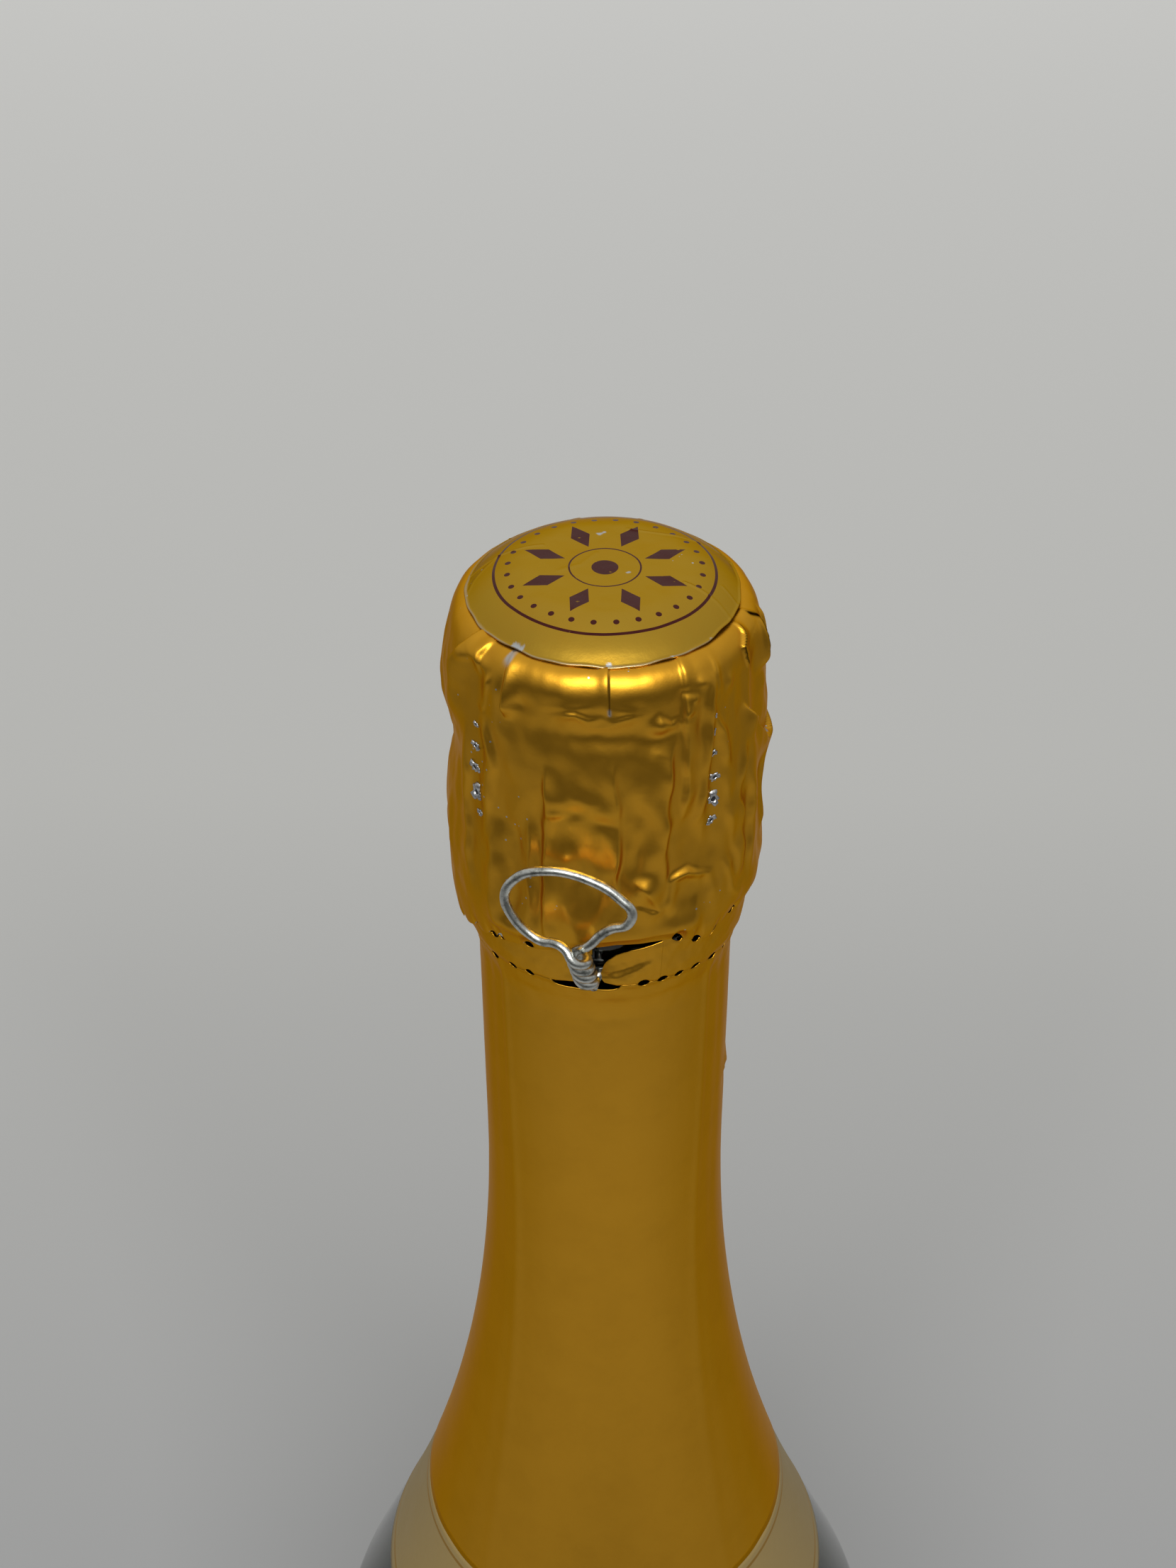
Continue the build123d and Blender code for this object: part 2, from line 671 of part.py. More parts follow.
# Paper labels on the body, front and back
body_labels = []
for name, middle, span, height in (
    ("front_label", 0, front_label_span, front_label_height),
    ("back_label", 180, back_label_span, back_label_height),
):
    with BuildPart() as body_label:
        add(wedge((middle - span / 2, middle + span / 2), (label_rise, label_rise + height),
                  (body_radius + skin_gap, body_radius + skin_gap + label_thickness)))
    body_label.part.label = name
    body_labels.append(body_label)

os.makedirs("parts", exist_ok=True)
pieces = [
    glass_bottle, wine, cork_body, *cork_discs, cage_cap, cage_ring_wire, *cage_legs, belt_wire,
    eyelet_root, eyelet_loop, hood_disc, hood_skirt, tear_strip, tear_tab, neck_foil, collar_label,
    *body_labels,
]
for piece in pieces:
    export_step(piece.part, f"parts/{piece.part.label}.step")
print("nodes:", len(pieces))
print("wine: millilitres", round(wine.part.volume / 1000, 1))
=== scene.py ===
import bmesh
import bpy
import json
import math
import random
import numpy as np
from functools import partial
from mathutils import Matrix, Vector, noise
from mathutils.bvhtree import BVHTree

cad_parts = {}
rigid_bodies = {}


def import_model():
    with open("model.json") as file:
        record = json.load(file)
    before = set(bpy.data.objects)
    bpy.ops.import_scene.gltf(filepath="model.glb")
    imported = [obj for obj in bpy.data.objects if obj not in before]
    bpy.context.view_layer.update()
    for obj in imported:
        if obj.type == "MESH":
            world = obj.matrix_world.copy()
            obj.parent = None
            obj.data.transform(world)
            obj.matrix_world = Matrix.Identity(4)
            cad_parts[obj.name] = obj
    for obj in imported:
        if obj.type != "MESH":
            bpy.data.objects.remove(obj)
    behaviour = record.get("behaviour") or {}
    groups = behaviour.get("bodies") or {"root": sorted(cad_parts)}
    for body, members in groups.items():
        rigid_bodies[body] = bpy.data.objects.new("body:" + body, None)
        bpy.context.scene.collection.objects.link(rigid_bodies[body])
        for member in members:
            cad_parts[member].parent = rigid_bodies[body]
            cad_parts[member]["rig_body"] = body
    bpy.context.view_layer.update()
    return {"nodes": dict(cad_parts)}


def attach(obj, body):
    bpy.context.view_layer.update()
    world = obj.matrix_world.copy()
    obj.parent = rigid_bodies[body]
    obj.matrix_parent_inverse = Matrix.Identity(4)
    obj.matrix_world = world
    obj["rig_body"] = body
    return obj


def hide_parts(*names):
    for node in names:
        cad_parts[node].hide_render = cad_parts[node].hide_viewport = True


# Sparkling wine bottle under a creased gold foil hood.
# The pieces' dictionaries hold millimetres and degrees; room, lamp and camera are in metres.
# An azimuth is measured from the front (-Y), positive to the right.

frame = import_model()
mm = 0.001  # a millimetre in the scene's metres
print("stage: frame loaded")


# helpers
def smooth(low, high, value):
    t = np.clip((value - low) / (high - low), 0, 1)
    return t * t * (3 - 2 * t)


def filletLine(corners, rounds, step=1.5):
    # corners (radius, height) joined by straight runs and true arcs
    line = [np.array(corners[0], float)]
    for before, corner, after, size in zip(corners, corners[1:], corners[2:], rounds):
        b = np.array(corner, float)
        u = np.array(before, float) - b
        v = np.array(after, float) - b
        u /= np.linalg.norm(u)
        v /= np.linalg.norm(v)
        half = math.acos(max(-1.0, min(1.0, float(u @ v)))) / 2
        centre = b + (u + v) / np.linalg.norm(u + v) * size / math.sin(half)
        start = b + u * size / math.tan(half) - centre
        end = b + v * size / math.tan(half) - centre
        first = math.atan2(start[1], start[0])
        turn = (math.atan2(end[1], end[0]) - first + math.pi) % (2 * math.pi) - math.pi
        count = max(4, int(abs(turn) * size / step))
        for k in range(count + 1):
            angle = first + turn * k / count
            line.append(centre + size * np.array([math.cos(angle), math.sin(angle)]))
    line.append(np.array(corners[-1], float))
    return np.array(line)


def onRound(azimuth, radius, height):
    angle = np.radians(azimuth)
    return np.stack([radius * np.sin(angle), -radius * np.cos(angle), height + 0 * angle], -1)


def turnedFrom(azimuth, middle=0):
    # azimuth measured from another one, from -180 to 180
    return (azimuth - middle + 180) % 360 - 180


def arcGap(azimuth, middle, radius):
    # the same in millimetres round a circle
    return np.radians(turnedFrom(azimuth, middle)) * radius


def lookUp(table, at):
    # between the pairs of a table
    return np.interp(at, [key for key, _ in table], [value for _, value in table])


def addObject(name, data):
    made = bpy.data.objects.new(name, data)
    bpy.context.scene.collection.objects.link(made)
    return made


def newPiece(name, points, faces, material, smoothFaces=True):
    mesh = bpy.data.meshes.new(name)
    mesh.from_pydata((np.asarray(points).reshape(-1, 3) * mm).tolist(), [], faces)
    mesh.polygons.foreach_set("use_smooth", [smoothFaces] * len(mesh.polygons))
    mesh.materials.append(material)
    mesh.update()
    return addObject(name, mesh)


def gridPiece(name, points, material, wrap=False, keep=None, flip=False):
    rows, cols = points.shape[:2]
    faces = []
    for i in range(rows - 1):
        for j in range(cols if wrap else cols - 1):
            k = (j + 1) % cols
            corners = (i * cols + j, (i + 1) * cols + j, (i + 1) * cols + k, i * cols + k)
            if keep is not None and not all(keep[c // cols, c % cols] for c in corners):
                continue
            faces.append(corners[::-1] if flip else corners)
    piece = newPiece(name, points, faces, material)
    tidyMesh(piece, recalc=False)
    return piece


def tidyMesh(piece, recalc=True):
    work = bmesh.new()
    work.from_mesh(piece.data)
    bmesh.ops.remove_doubles(work, verts=work.verts, dist=1e-7)
    loose = [v for v in work.verts if not v.link_faces]
    bmesh.ops.delete(work, geom=loose, context="VERTS")
    if recalc:
        bmesh.ops.recalc_face_normals(work, faces=work.faces)
    work.to_mesh(piece.data)
    work.free()


def lathePiece(name, profile, material, segments=160):
    # closed skin turned from a line of radius and height
    azimuths = np.arange(segments) * 360 / segments
    points = np.stack([onRound(azimuths, r, z) for r, z in profile])
    piece = gridPiece(name, points, material, wrap=True)
    tidyMesh(piece)
    return piece


def bakeModifiers(piece):
    # the evaluated result becomes the piece's own plain mesh
    bpy.context.view_layer.update()
    graph = bpy.context.evaluated_depsgraph_get()
    mesh = bpy.data.meshes.new_from_object(piece.evaluated_get(graph))
    piece.modifiers.clear()
    piece.data = mesh


def thicken(piece, wall):
    # foil and paper get their thickness inwards
    solidify = piece.modifiers.new("thickness", "SOLIDIFY")
    solidify.thickness = wall * mm
    solidify.offset = -1
    bakeModifiers(piece)


# shader groups and materials
def newGroup(name, inputs, outputs):
    group = bpy.data.node_groups.new(name, "ShaderNodeTree")
    for label, kind, value in inputs:
        socket = group.interface.new_socket(name=label, in_out="INPUT", socket_type=kind)
        if value is not None:
            socket.default_value = value
    for label, kind in outputs:
        group.interface.new_socket(name=label, in_out="OUTPUT", socket_type=kind)
    return group, group.nodes.new("NodeGroupInput"), group.nodes.new("NodeGroupOutput")


def place(tree, kind, links=(), **settings):
    node = tree.nodes.new(kind)
    values = settings.pop("values", {})
    for key, value in settings.items():
        setattr(node, key, value)
    for key, value in values.items():
        node.inputs[key].default_value = value
    for key, source in dict(links).items():
        tree.links.new(source, node.inputs[key])
    return node


def maths(tree, operation, a, b=None, clamp=False):
    node = tree.nodes.new("ShaderNodeMath")
    node.operation = operation
    node.use_clamp = clamp
    for slot, value in enumerate((a, b)):
        if isinstance(value, (int, float)):
            node.inputs[slot].default_value = value
        elif value is not None:
            tree.links.new(value, node.inputs[slot])
    return node.outputs[0]


def mixColour(tree, factor, a, b):
    node = tree.nodes.new("ShaderNodeMix")
    node.data_type = "RGBA"
    for slot, value in ((0, factor), (6, a), (7, b)):
        if isinstance(value, bpy.types.NodeSocket):
            tree.links.new(value, node.inputs[slot])
        else:
            node.inputs[slot].default_value = value
    return node.outputs[2]


def addNoise(tree, coordinates, scale, detail=2.0, roughness=0.5):
    return place(tree, "ShaderNodeTexNoise", {"Vector": coordinates},
                 values={"Scale": scale, "Detail": detail, "Roughness": roughness}).outputs[0]


def addRamp(tree, factor, *stops):
    # colour ramp, with its stops as position and colour
    node = place(tree, "ShaderNodeValToRGB", {"Fac": factor})
    elements = node.color_ramp.elements
    elements[0].position, elements[0].color = stops[0]
    elements[1].position, elements[1].color = stops[-1]
    for position, colour in stops[1:-1]:
        elements.new(position).color = colour
    return node.outputs[0]


def makeGrainGroup():
    # fine grain of a surface: a height for Bump and a roughness that varies
    group, start, end = newGroup("surfaceGrain", [
        ("Place", "NodeSocketVector", None), ("Scale", "NodeSocketFloat", 900.0),
        ("Roughness", "NodeSocketFloat", 0.3), ("Variation", "NodeSocketFloat", 0.08)],
        [("Height", "NodeSocketFloat"), ("Roughness", "NodeSocketFloat")])
    calc = partial(maths, group)
    given = start.outputs
    fine = place(group, "ShaderNodeTexNoise", {"Vector": given["Place"], "Scale": given["Scale"]},
                 values={"Detail": 4.0, "Roughness": 0.6})
    coarseScale = calc("MULTIPLY", given["Scale"], 0.12)
    coarse = place(group, "ShaderNodeTexNoise", {"Vector": given["Place"], "Scale": coarseScale},
                   values={"Detail": 3.0, "Roughness": 0.55})
    swing = calc("MULTIPLY", calc("SUBTRACT", coarse.outputs[0], 0.5), given["Variation"])
    rough = calc("ADD", given["Roughness"], calc("MULTIPLY", swing, 2.0), clamp=True)
    group.links.new(fine.outputs[0], end.inputs["Height"])
    group.links.new(rough, end.inputs["Roughness"])
    return group


def makeWearGroup():
    # bare specks in patches, and a haze of tarnish
    group, start, end = newGroup("foilWear", [
        ("Place", "NodeSocketVector", None), ("Speck Scale", "NodeSocketFloat", 900.0),
        ("Specks", "NodeSocketFloat", 0.5)],
        [("Mask", "NodeSocketFloat"), ("Tarnish", "NodeSocketFloat")])
    calc = partial(maths, group)
    given = start.outputs
    cells = place(group, "ShaderNodeTexVoronoi", {"Vector": given["Place"], "Scale": given["Speck Scale"]})
    patch = addNoise(group, given["Place"], 95.0, 3.0)
    near = calc("LESS_THAN", cells.outputs["Distance"], 0.11)
    where = calc("GREATER_THAN", patch, calc("SUBTRACT", 1.0, given["Specks"]))
    haze = addNoise(group, given["Place"], 160.0, 5.0, 0.65)
    tarnish = calc("MULTIPLY", calc("SUBTRACT", haze, 0.45), 2.2, clamp=True)
    group.links.new(calc("MULTIPLY", near, where), end.inputs["Mask"])
    group.links.new(tarnish, end.inputs["Tarnish"])
    return group


grainGroup = makeGrainGroup()
wearGroup = makeWearGroup()


def newMaterial(name, **settings):
    material = bpy.data.materials.new(name)
    material.use_nodes = True
    tree = material.node_tree
    shader = tree.nodes["Principled BSDF"]
    for key, value in settings.items():
        shader.inputs[key.replace("_", " ")].default_value = value
    coordinates = tree.nodes.new("ShaderNodeTexCoord").outputs["Object"]
    return material, tree, shader, coordinates


def mottledMaterial(name, scale, colours, detail=2.0, **settings):
    # a material whose colour wanders between two
    made = newMaterial(name, **settings)
    _, tree, shader, coordinates = made
    colour = mixColour(tree, addNoise(tree, coordinates, scale, detail), *colours)
    tree.links.new(colour, shader.inputs["Base Color"])
    return made


def addGrain(tree, shader, coordinates, scale, roughness, variation, depth, extra=None):
    grain = place(tree, "ShaderNodeGroup", {"Place": coordinates}, node_tree=grainGroup,
                  values={"Scale": scale, "Roughness": roughness, "Variation": variation})
    height = grain.outputs["Height"] if extra is None else maths(tree, "ADD", grain.outputs["Height"], extra)
    bump = place(tree, "ShaderNodeBump", {"Height": height}, values={"Strength": 1.0, "Distance": depth * mm})
    tree.links.new(bump.outputs[0], shader.inputs["Normal"])
    tree.links.new(grain.outputs["Roughness"], shader.inputs["Roughness"])


foil = {
    "gold": (0.78, 0.39, 0.030, 1), "deepGold": (0.60, 0.29, 0.020, 1), "topGold": (0.56, 0.335, 0.035, 1),
    "bare": (0.62, 0.63, 0.62, 1), "edgeTint": (0.72, 0.52, 0.34, 1), "maroon": (0.045, 0.004, 0.006, 1),
    # the near-black crack colour is painted shade
    "lining": (0.70, 0.69, 0.66, 1), "crackShade": (0.004, 0.004, 0.004, 1),
    "roughness": 0.375, "topRoughness": 0.29, "neckRoughness": 0.36, "capRoughness": 0.22,
    "variation": 0.06, "grainScale": 1400.0, "grainDepth": 0.016, "tarnish": 0.35, "inkDull": 0.75,
}


def makeFoil(name, specks=0.40, printed=False, roughness=foil["roughness"], gold=foil["gold"]):
    # the attribute "worn" marks bare metal; the crack attribute marks painted shade, near black along the
    # cracks of a piece
    material, tree, shader, coordinates = newMaterial(name, Metallic=1.0, Specular_Tint=foil["edgeTint"])
    calc = partial(maths, tree)
    addGrain(tree, shader, coordinates, foil["grainScale"], roughness, foil["variation"], foil["grainDepth"])
    wear = place(tree, "ShaderNodeGroup", {"Place": coordinates}, node_tree=wearGroup,
                 values={"Specks": specks})
    worn = place(tree, "ShaderNodeAttribute", attribute_name="worn").outputs["Fac"]
    crackShade = place(tree, "ShaderNodeAttribute", attribute_name="crackShade").outputs["Fac"]
    tarnish = calc("MULTIPLY", wear.outputs["Tarnish"], foil["tarnish"])
    colour = mixColour(tree, tarnish, gold, foil["deepGold"])
    colour = mixColour(tree, calc("MAXIMUM", wear.outputs["Mask"], worn), colour, foil["bare"])
    if printed:
        ink = printMask(tree, coordinates)
        colour = mixColour(tree, ink, colour, foil["maroon"])
        shine = calc("SUBTRACT", 1.0, calc("MULTIPLY", ink, foil["inkDull"]))
        tree.links.new(shine, shader.inputs["Metallic"])
    # painted shade: near black along the cracks
    tree.links.new(mixColour(tree, crackShade, colour, foil["crackShade"]), shader.inputs["Base Color"])
    return material


topPrint = {
    "ring": 12.4, "ringHalf": 0.16, "innerRing": 4.0, "innerHalf": 0.10, "core": 1.5,
    "dots": 28, "dotRing": 10.9, "dotSize": 0.34,
    "petals": 8, "petalReach": 7.3, "petalHalf": 2.5, "petalWide": 1.15,
}


def printMask(tree, coordinates):
    # plain rings, a chain of dots and a rosette of lozenges, drawn from radius and angle
    calc = partial(maths, tree)
    axes = place(tree, "ShaderNodeSeparateXYZ", {0: coordinates}).outputs
    x = calc("MULTIPLY", axes[0], 1 / mm)
    y = calc("MULTIPLY", axes[1], 1 / mm)
    radius = calc("SQRT", calc("ADD", calc("MULTIPLY", x, x), calc("MULTIPLY", y, y)))
    angle = calc("ARCTAN2", y, x)

    def band(middle, half):
        return calc("LESS_THAN", calc("ABSOLUTE", calc("SUBTRACT", radius, middle)), half)

    def folded(count):
        # distance along and across the nearest of the spokes
        step = 2 * math.pi / count
        turned = calc("SUBTRACT", calc("FLOORED_MODULO", angle, step), step / 2)
        return [calc("MULTIPLY", radius, calc(wave, turned)) for wave in ("COSINE", "SINE")]

    along, across = folded(topPrint["petals"])
    off = calc("ABSOLUTE", calc("SUBTRACT", along, topPrint["petalReach"]))
    reach = calc("DIVIDE", off, topPrint["petalHalf"])
    wide = calc("DIVIDE", calc("ABSOLUTE", across), topPrint["petalWide"])
    petals = calc("LESS_THAN", calc("ADD", reach, wide), 1.0)
    along, across = folded(topPrint["dots"])
    off = calc("SUBTRACT", along, topPrint["dotRing"])
    apart = calc("ADD", calc("MULTIPLY", off, off), calc("MULTIPLY", across, across))
    ink = calc("MAXIMUM", petals, calc("LESS_THAN", apart, topPrint["dotSize"] ** 2))
    for mark in (calc("LESS_THAN", radius, topPrint["core"]), band(topPrint["ring"], topPrint["ringHalf"]),
                 band(topPrint["innerRing"], topPrint["innerHalf"])):
        ink = calc("MAXIMUM", ink, mark)
    rub = calc("MULTIPLY", calc("SUBTRACT", addNoise(tree, coordinates, 1500.0), 0.18), 9.0, clamp=True)
    return calc("MULTIPLY", ink, rub)


wire = {"dull": (0.16, 0.17, 0.15, 1), "bright": (0.70, 0.72, 0.68, 1), "streakScale": 700.0,
        "grainScale": 1800.0, "roughness": 0.30, "variation": 0.12, "grainDepth": 0.03}


def makeWire():
    material, tree, shader, coordinates = newMaterial("galvanisedWire", Metallic=1.0)
    streaks = addNoise(tree, coordinates, wire["streakScale"], 5.0, 0.7)
    colour = addRamp(tree, streaks, (0.30, wire["dull"]), (0.52, wire["bright"]))
    tree.links.new(colour, shader.inputs["Base Color"])
    addGrain(tree, shader, coordinates, wire["grainScale"], wire["roughness"], wire["variation"],
             wire["grainDepth"])
    return material


cork = {"crumbScale": 620.0, "crumbDark": (0.30, 0.15, 0.06, 1), "barkScale": 240.0,
        "barkDark": (0.50, 0.30, 0.14, 1), "pale": (0.62, 0.40, 0.20, 1), "pit": (0.12, 0.055, 0.02, 1)}


def makeCork(name, cellScale, dark):
    material, tree, shader, coordinates = newMaterial(name)
    cells = place(tree, "ShaderNodeTexVoronoi", {"Vector": coordinates}, values={"Scale": cellScale})
    shade = place(tree, "ShaderNodeSeparateXYZ", {0: cells.outputs["Color"]}).outputs[0]
    colour = addRamp(tree, shade, (0.0, dark), (1.0, cork["pale"]))
    pores = addNoise(tree, coordinates, 480.0, 6.0)
    pit = maths(tree, "MULTIPLY", maths(tree, "SUBTRACT", 0.40, pores), 7.0, clamp=True)
    tree.links.new(mixColour(tree, pit, colour, cork["pit"]), shader.inputs["Base Color"])
    addGrain(tree, shader, coordinates, 900.0, 0.78, 0.08, 0.10, maths(tree, "MULTIPLY", pit, -2.0))
    return material


paper = {
    "collarBase": (0.29, 0.20, 0.065, 1), "collarFibre": (0.36, 0.26, 0.10, 1),
    "labelBase": (0.66, 0.58, 0.40, 1), "labelFibre": (0.74, 0.68, 0.52, 1), "line": (0.42, 0.24, 0.05, 1),
    # printed lines as height and half width
    "collarLines": [(139.2, 0.25), (156.4, 0.25)], "labelLines": [(20.5, 0.35), (22.0, 0.12), (65.6, 0.12)],
}


def makePaper(name, base, fibre, lines):
    # matt paper with thin printed lines at given heights
    material, tree, shader, coordinates = newMaterial(name)
    calc = partial(maths, tree)
    height = calc("MULTIPLY", place(tree, "ShaderNodeSeparateXYZ", {0: coordinates}).outputs[2], 1 / mm)
    fibres = calc("MULTIPLY", addNoise(tree, coordinates, 800.0, 4.0), 0.22)
    ink = None
    for middle, half in lines:
        mark = calc("LESS_THAN", calc("ABSOLUTE", calc("SUBTRACT", height, middle)), half)
        ink = mark if ink is None else calc("MAXIMUM", ink, mark)
    tree.links.new(calc("MULTIPLY", ink, 0.8), shader.inputs["Metallic"])
    colour = mixColour(tree, ink, mixColour(tree, fibres, base, fibre), paper["line"])
    tree.links.new(colour, shader.inputs["Base Color"])
    addGrain(tree, shader, coordinates, 1100.0, 0.55, 0.10, 0.03)
    return material


clear = {"glass": ((0.16, 0.22, 0.085, 1), (0.20, 0.27, 0.11, 1)), "glassBend": 1.52, "glassRoughness": 0.03,
         "wine": ((0.80, 0.70, 0.38, 1), (0.84, 0.74, 0.42, 1)), "wineBend": 1.34}

goldFoil = makeFoil("goldFoil")
goldTop = makeFoil("goldTopFoil", printed=True, roughness=foil["topRoughness"], gold=foil["topGold"])
goldNeck = makeFoil("goldNeckFoil", specks=0.12, roughness=foil["neckRoughness"])
foilInside = makeFoil("foilInside", specks=0.0, gold=foil["lining"])
capLacquer = makeFoil("capLacquer", specks=0.3, roughness=foil["capRoughness"])
wireFinish = makeWire()
corkFinish = makeCork("agglomerateCork", cork["crumbScale"], cork["crumbDark"])
naturalCork = makeCork("naturalCork", cork["barkScale"], cork["barkDark"])
glassFinish, tree, shader, coordinates = mottledMaterial(
    "bottleGlass", 14.0, clear["glass"], IOR=clear["glassBend"], Transmission_Weight=1.0)
addGrain(tree, shader, coordinates, 45.0, clear["glassRoughness"], 0.02, 0.06)
wineFinish = mottledMaterial("wine", 20.0, clear["wine"], IOR=clear["wineBend"], Transmission_Weight=1.0,
                             Roughness=0.0)[0]
collarPaper = makePaper("collarPaper", paper["collarBase"], paper["collarFibre"], paper["collarLines"])
labelPaper = makePaper("labelPaper", paper["labelBase"], paper["labelFibre"], paper["labelLines"])
print("stage: materials made")

# foil surface: folds, dents and wrinkles
hoodRadius = 18.3  # turns azimuths into millimetres round the hood


def foldShape(along, height, points, left, right, lift, taper=None):
    # ridge or groove along a line; each flank has its own width, and it fades out at both ends
    best = np.full(along.shape, 1e9)
    shape = np.zeros(along.shape)
    points = [(math.radians(a) * hoodRadius, z) for a, z in points]
    total = sum(math.dist(p, q) for p, q in zip(points, points[1:]))
    taper = taper or min(max(1.6, 0.26 * total), 6.5)
    done = 0.0
    for p, q in zip(points, points[1:]):
        run = math.dist(p, q)
        ux, uz = (q[0] - p[0]) / run, (q[1] - p[1]) / run
        t = np.clip((along - p[0]) * ux + (height - p[1]) * uz, 0, run)
        dx, dz = along - p[0] - t * ux, height - p[1] - t * uz
        distance = np.hypot(dx, dz)
        side = ux * dz - uz * dx  # positive on the right of a line that goes down
        width = np.where(side > 0, right, left)
        fade = smooth(-0.001, taper, done + t) * smooth(-0.001, taper, total - done - t)
        shape = np.where(distance < best, lift * np.exp(-(distance / width) ** 2) * fade, shape)
        best = np.minimum(best, distance)
        done += run
    return shape


def dentShape(along, height, azimuth, middle, wide, tall, lift, turn=0.0):
    dx, dz = along - math.radians(azimuth) * hoodRadius, height - middle
    c, s = math.cos(math.radians(turn)), math.sin(math.radians(turn))
    u, v = (dx * c + dz * s) / wide, (-dx * s + dz * c) / tall
    return lift * np.exp(-(u * u + v * v))


# folds as points (azimuth, height), width of left flank, width of right flank and height of fold
frontFolds = [
    ([(0.9, 319.2), (1.0, 315.5), (1.1, 312.4)], 1.1, 0.10, 0.22),
    ([(-38.6, 319.0), (-36.2, 315.4), (-36.1, 310.0)], 0.30, 1.1, 0.52),
    ([(31.2, 318.8), (29.5, 316.9), (28.7, 314.4), (28.6, 310.4)], 0.22, 1.0, 0.46),
    ([(43.3, 317.8), (43.2, 315.4), (43.4, 312.6)], 0.45, 0.5, 0.30),
    ([(-56.4, 319.0), (-59.4, 316.6), (-65.0, 314.0), (-68.6, 310.4), (-70.0, 304.0)], 0.28, 2.6, 0.85),
    ([(-49.0, 318.6), (-51.4, 316.4), (-50.0, 313.6)], 0.9, 0.35, 0.34),
    ([(66.6, 318.4), (64.2, 316.7), (60.3, 315.9), (61.2, 314.5), (63.4, 311.6)], 0.18, 1.0, 0.36),
    ([(72.0, 318.8), (79.0, 316.7), (77.6, 314.0), (76.6, 309.4)], 1.9, 0.16, 0.60),
    ([(-21.8, 312.4), (-9.5, 313.2), (-5.0, 312.6), (-1.5, 312.9), (3.0, 312.3), (7.0, 312.7), (16.8, 313.1)],
     0.70, 0.34, 0.26),
    ([(-7.5, 311.9), (-2.0, 311.5), (5.0, 311.8)], 0.30, 0.50, 0.14),
    ([(-20.0, 306.5), (-20.5, 300.5), (-20.6, 294.0), (-21.6, 279.0)], 0.42, 2.4, 0.90),
    ([(-24.4, 303.0), (-24.6, 291.0), (-24.4, 281.5)], 1.1, 1.1, -0.42),
    ([(2.4, 307.8), (3.8, 301.2), (4.1, 295.2), (3.6, 287.5)], 2.1, 0.45, 0.62),
    ([(26.0, 310.0), (22.2, 307.0), (21.0, 299.2), (20.9, 286.5)], 2.1, 0.50, 0.66),
    ([(18.0, 313.2), (20.4, 312.0), (24.2, 311.0), (27.6, 312.2)], 0.9, 0.40, 0.30),
    ([(-63.0, 314.8), (-52.7, 315.9), (-43.6, 315.0)], 0.45, 0.9, 0.26),
    ([(-43.6, 315.4), (-46.0, 312.6), (-49.0, 309.4)], 0.9, 0.36, 0.32),
    ([(28.4, 314.6), (29.5, 309.0), (30.6, 304.0), (28.2, 297.5)], 0.45, 1.3, 0.60),
    ([(48.0, 316.6), (41.2, 315.1), (38.6, 312.3), (37.4, 308.0), (36.8, 300.5), (34.4, 295.0)],
     0.65, 0.50, 0.50),
    ([(23.4, 284.0), (24.3, 289.5), (30.7, 290.1), (38.8, 288.8), (43.0, 283.8)], 0.85, 0.60, 0.50),
    ([(-20.6, 300.4), (-11.3, 302.2), (-1.8, 301.6), (3.6, 299.4)], 2.2, 1.4, 0.22),
    ([(9.2, 286.9), (16.0, 286.0), (22.0, 285.7)], 1.5, 0.30, 0.30),
    ([(10.6, 291.0), (16.2, 288.4), (21.6, 285.3)], 0.45, 1.2, 0.34),
    ([(-42.2, 297.0), (-42.8, 288.0), (-41.6, 279.8)], 1.0, 1.5, 0.50),
    ([(-33.0, 297.5), (-34.2, 281.5)], 0.9, 0.9, -0.45),
    ([(-26.3, 301.5), (-27.5, 281.0)], 0.6, 1.3, 0.44),
    ([(-45.0, 311.0), (-44.0, 303.0), (-47.0, 294.0)], 0.9, 0.6, 0.50),
    ([(44.2, 304.5), (50.0, 293.5), (56.6, 283.5)], 0.6, 1.5, 0.55),
    ([(57.4, 306.0), (53.5, 297.0), (56.6, 288.0)], 1.1, 0.5, 0.50),
    ([(60.4, 302.0), (63.5, 292.0), (61.6, 282.0)], 0.6, 1.6, 0.52),
    ([(-56.4, 307.0), (-59.0, 294.0), (-56.4, 282.5)], 1.3, 0.6, 0.55),
    ([(35.5, 313.0), (44.0, 308.0), (47.6, 302.0)], 0.7, 0.6, 0.42),
    ([(45.6, 290.5), (52.0, 284.5), (57.6, 280.8)], 0.5, 0.8, 0.36),
    ([(58.0, 309.2), (65.0, 306.3), (72.0, 303.0), (80.0, 300.0), (86.0, 299.6), (96.0, 302.4)],
     3.2, 0.16, 0.95),
    ([(-13.6, 300.0), (-14.4, 290.0), (-13.0, 279.0)], 1.0, 1.5, 0.22),
    ([(-3.0, 299.0), (-3.4, 290.0), (-2.0, 280.0)], 1.2, 0.9, 0.20),
    ([(11.4, 303.0), (11.8, 295.0), (10.0, 289.0)], 1.0, 1.0, -0.30),
]
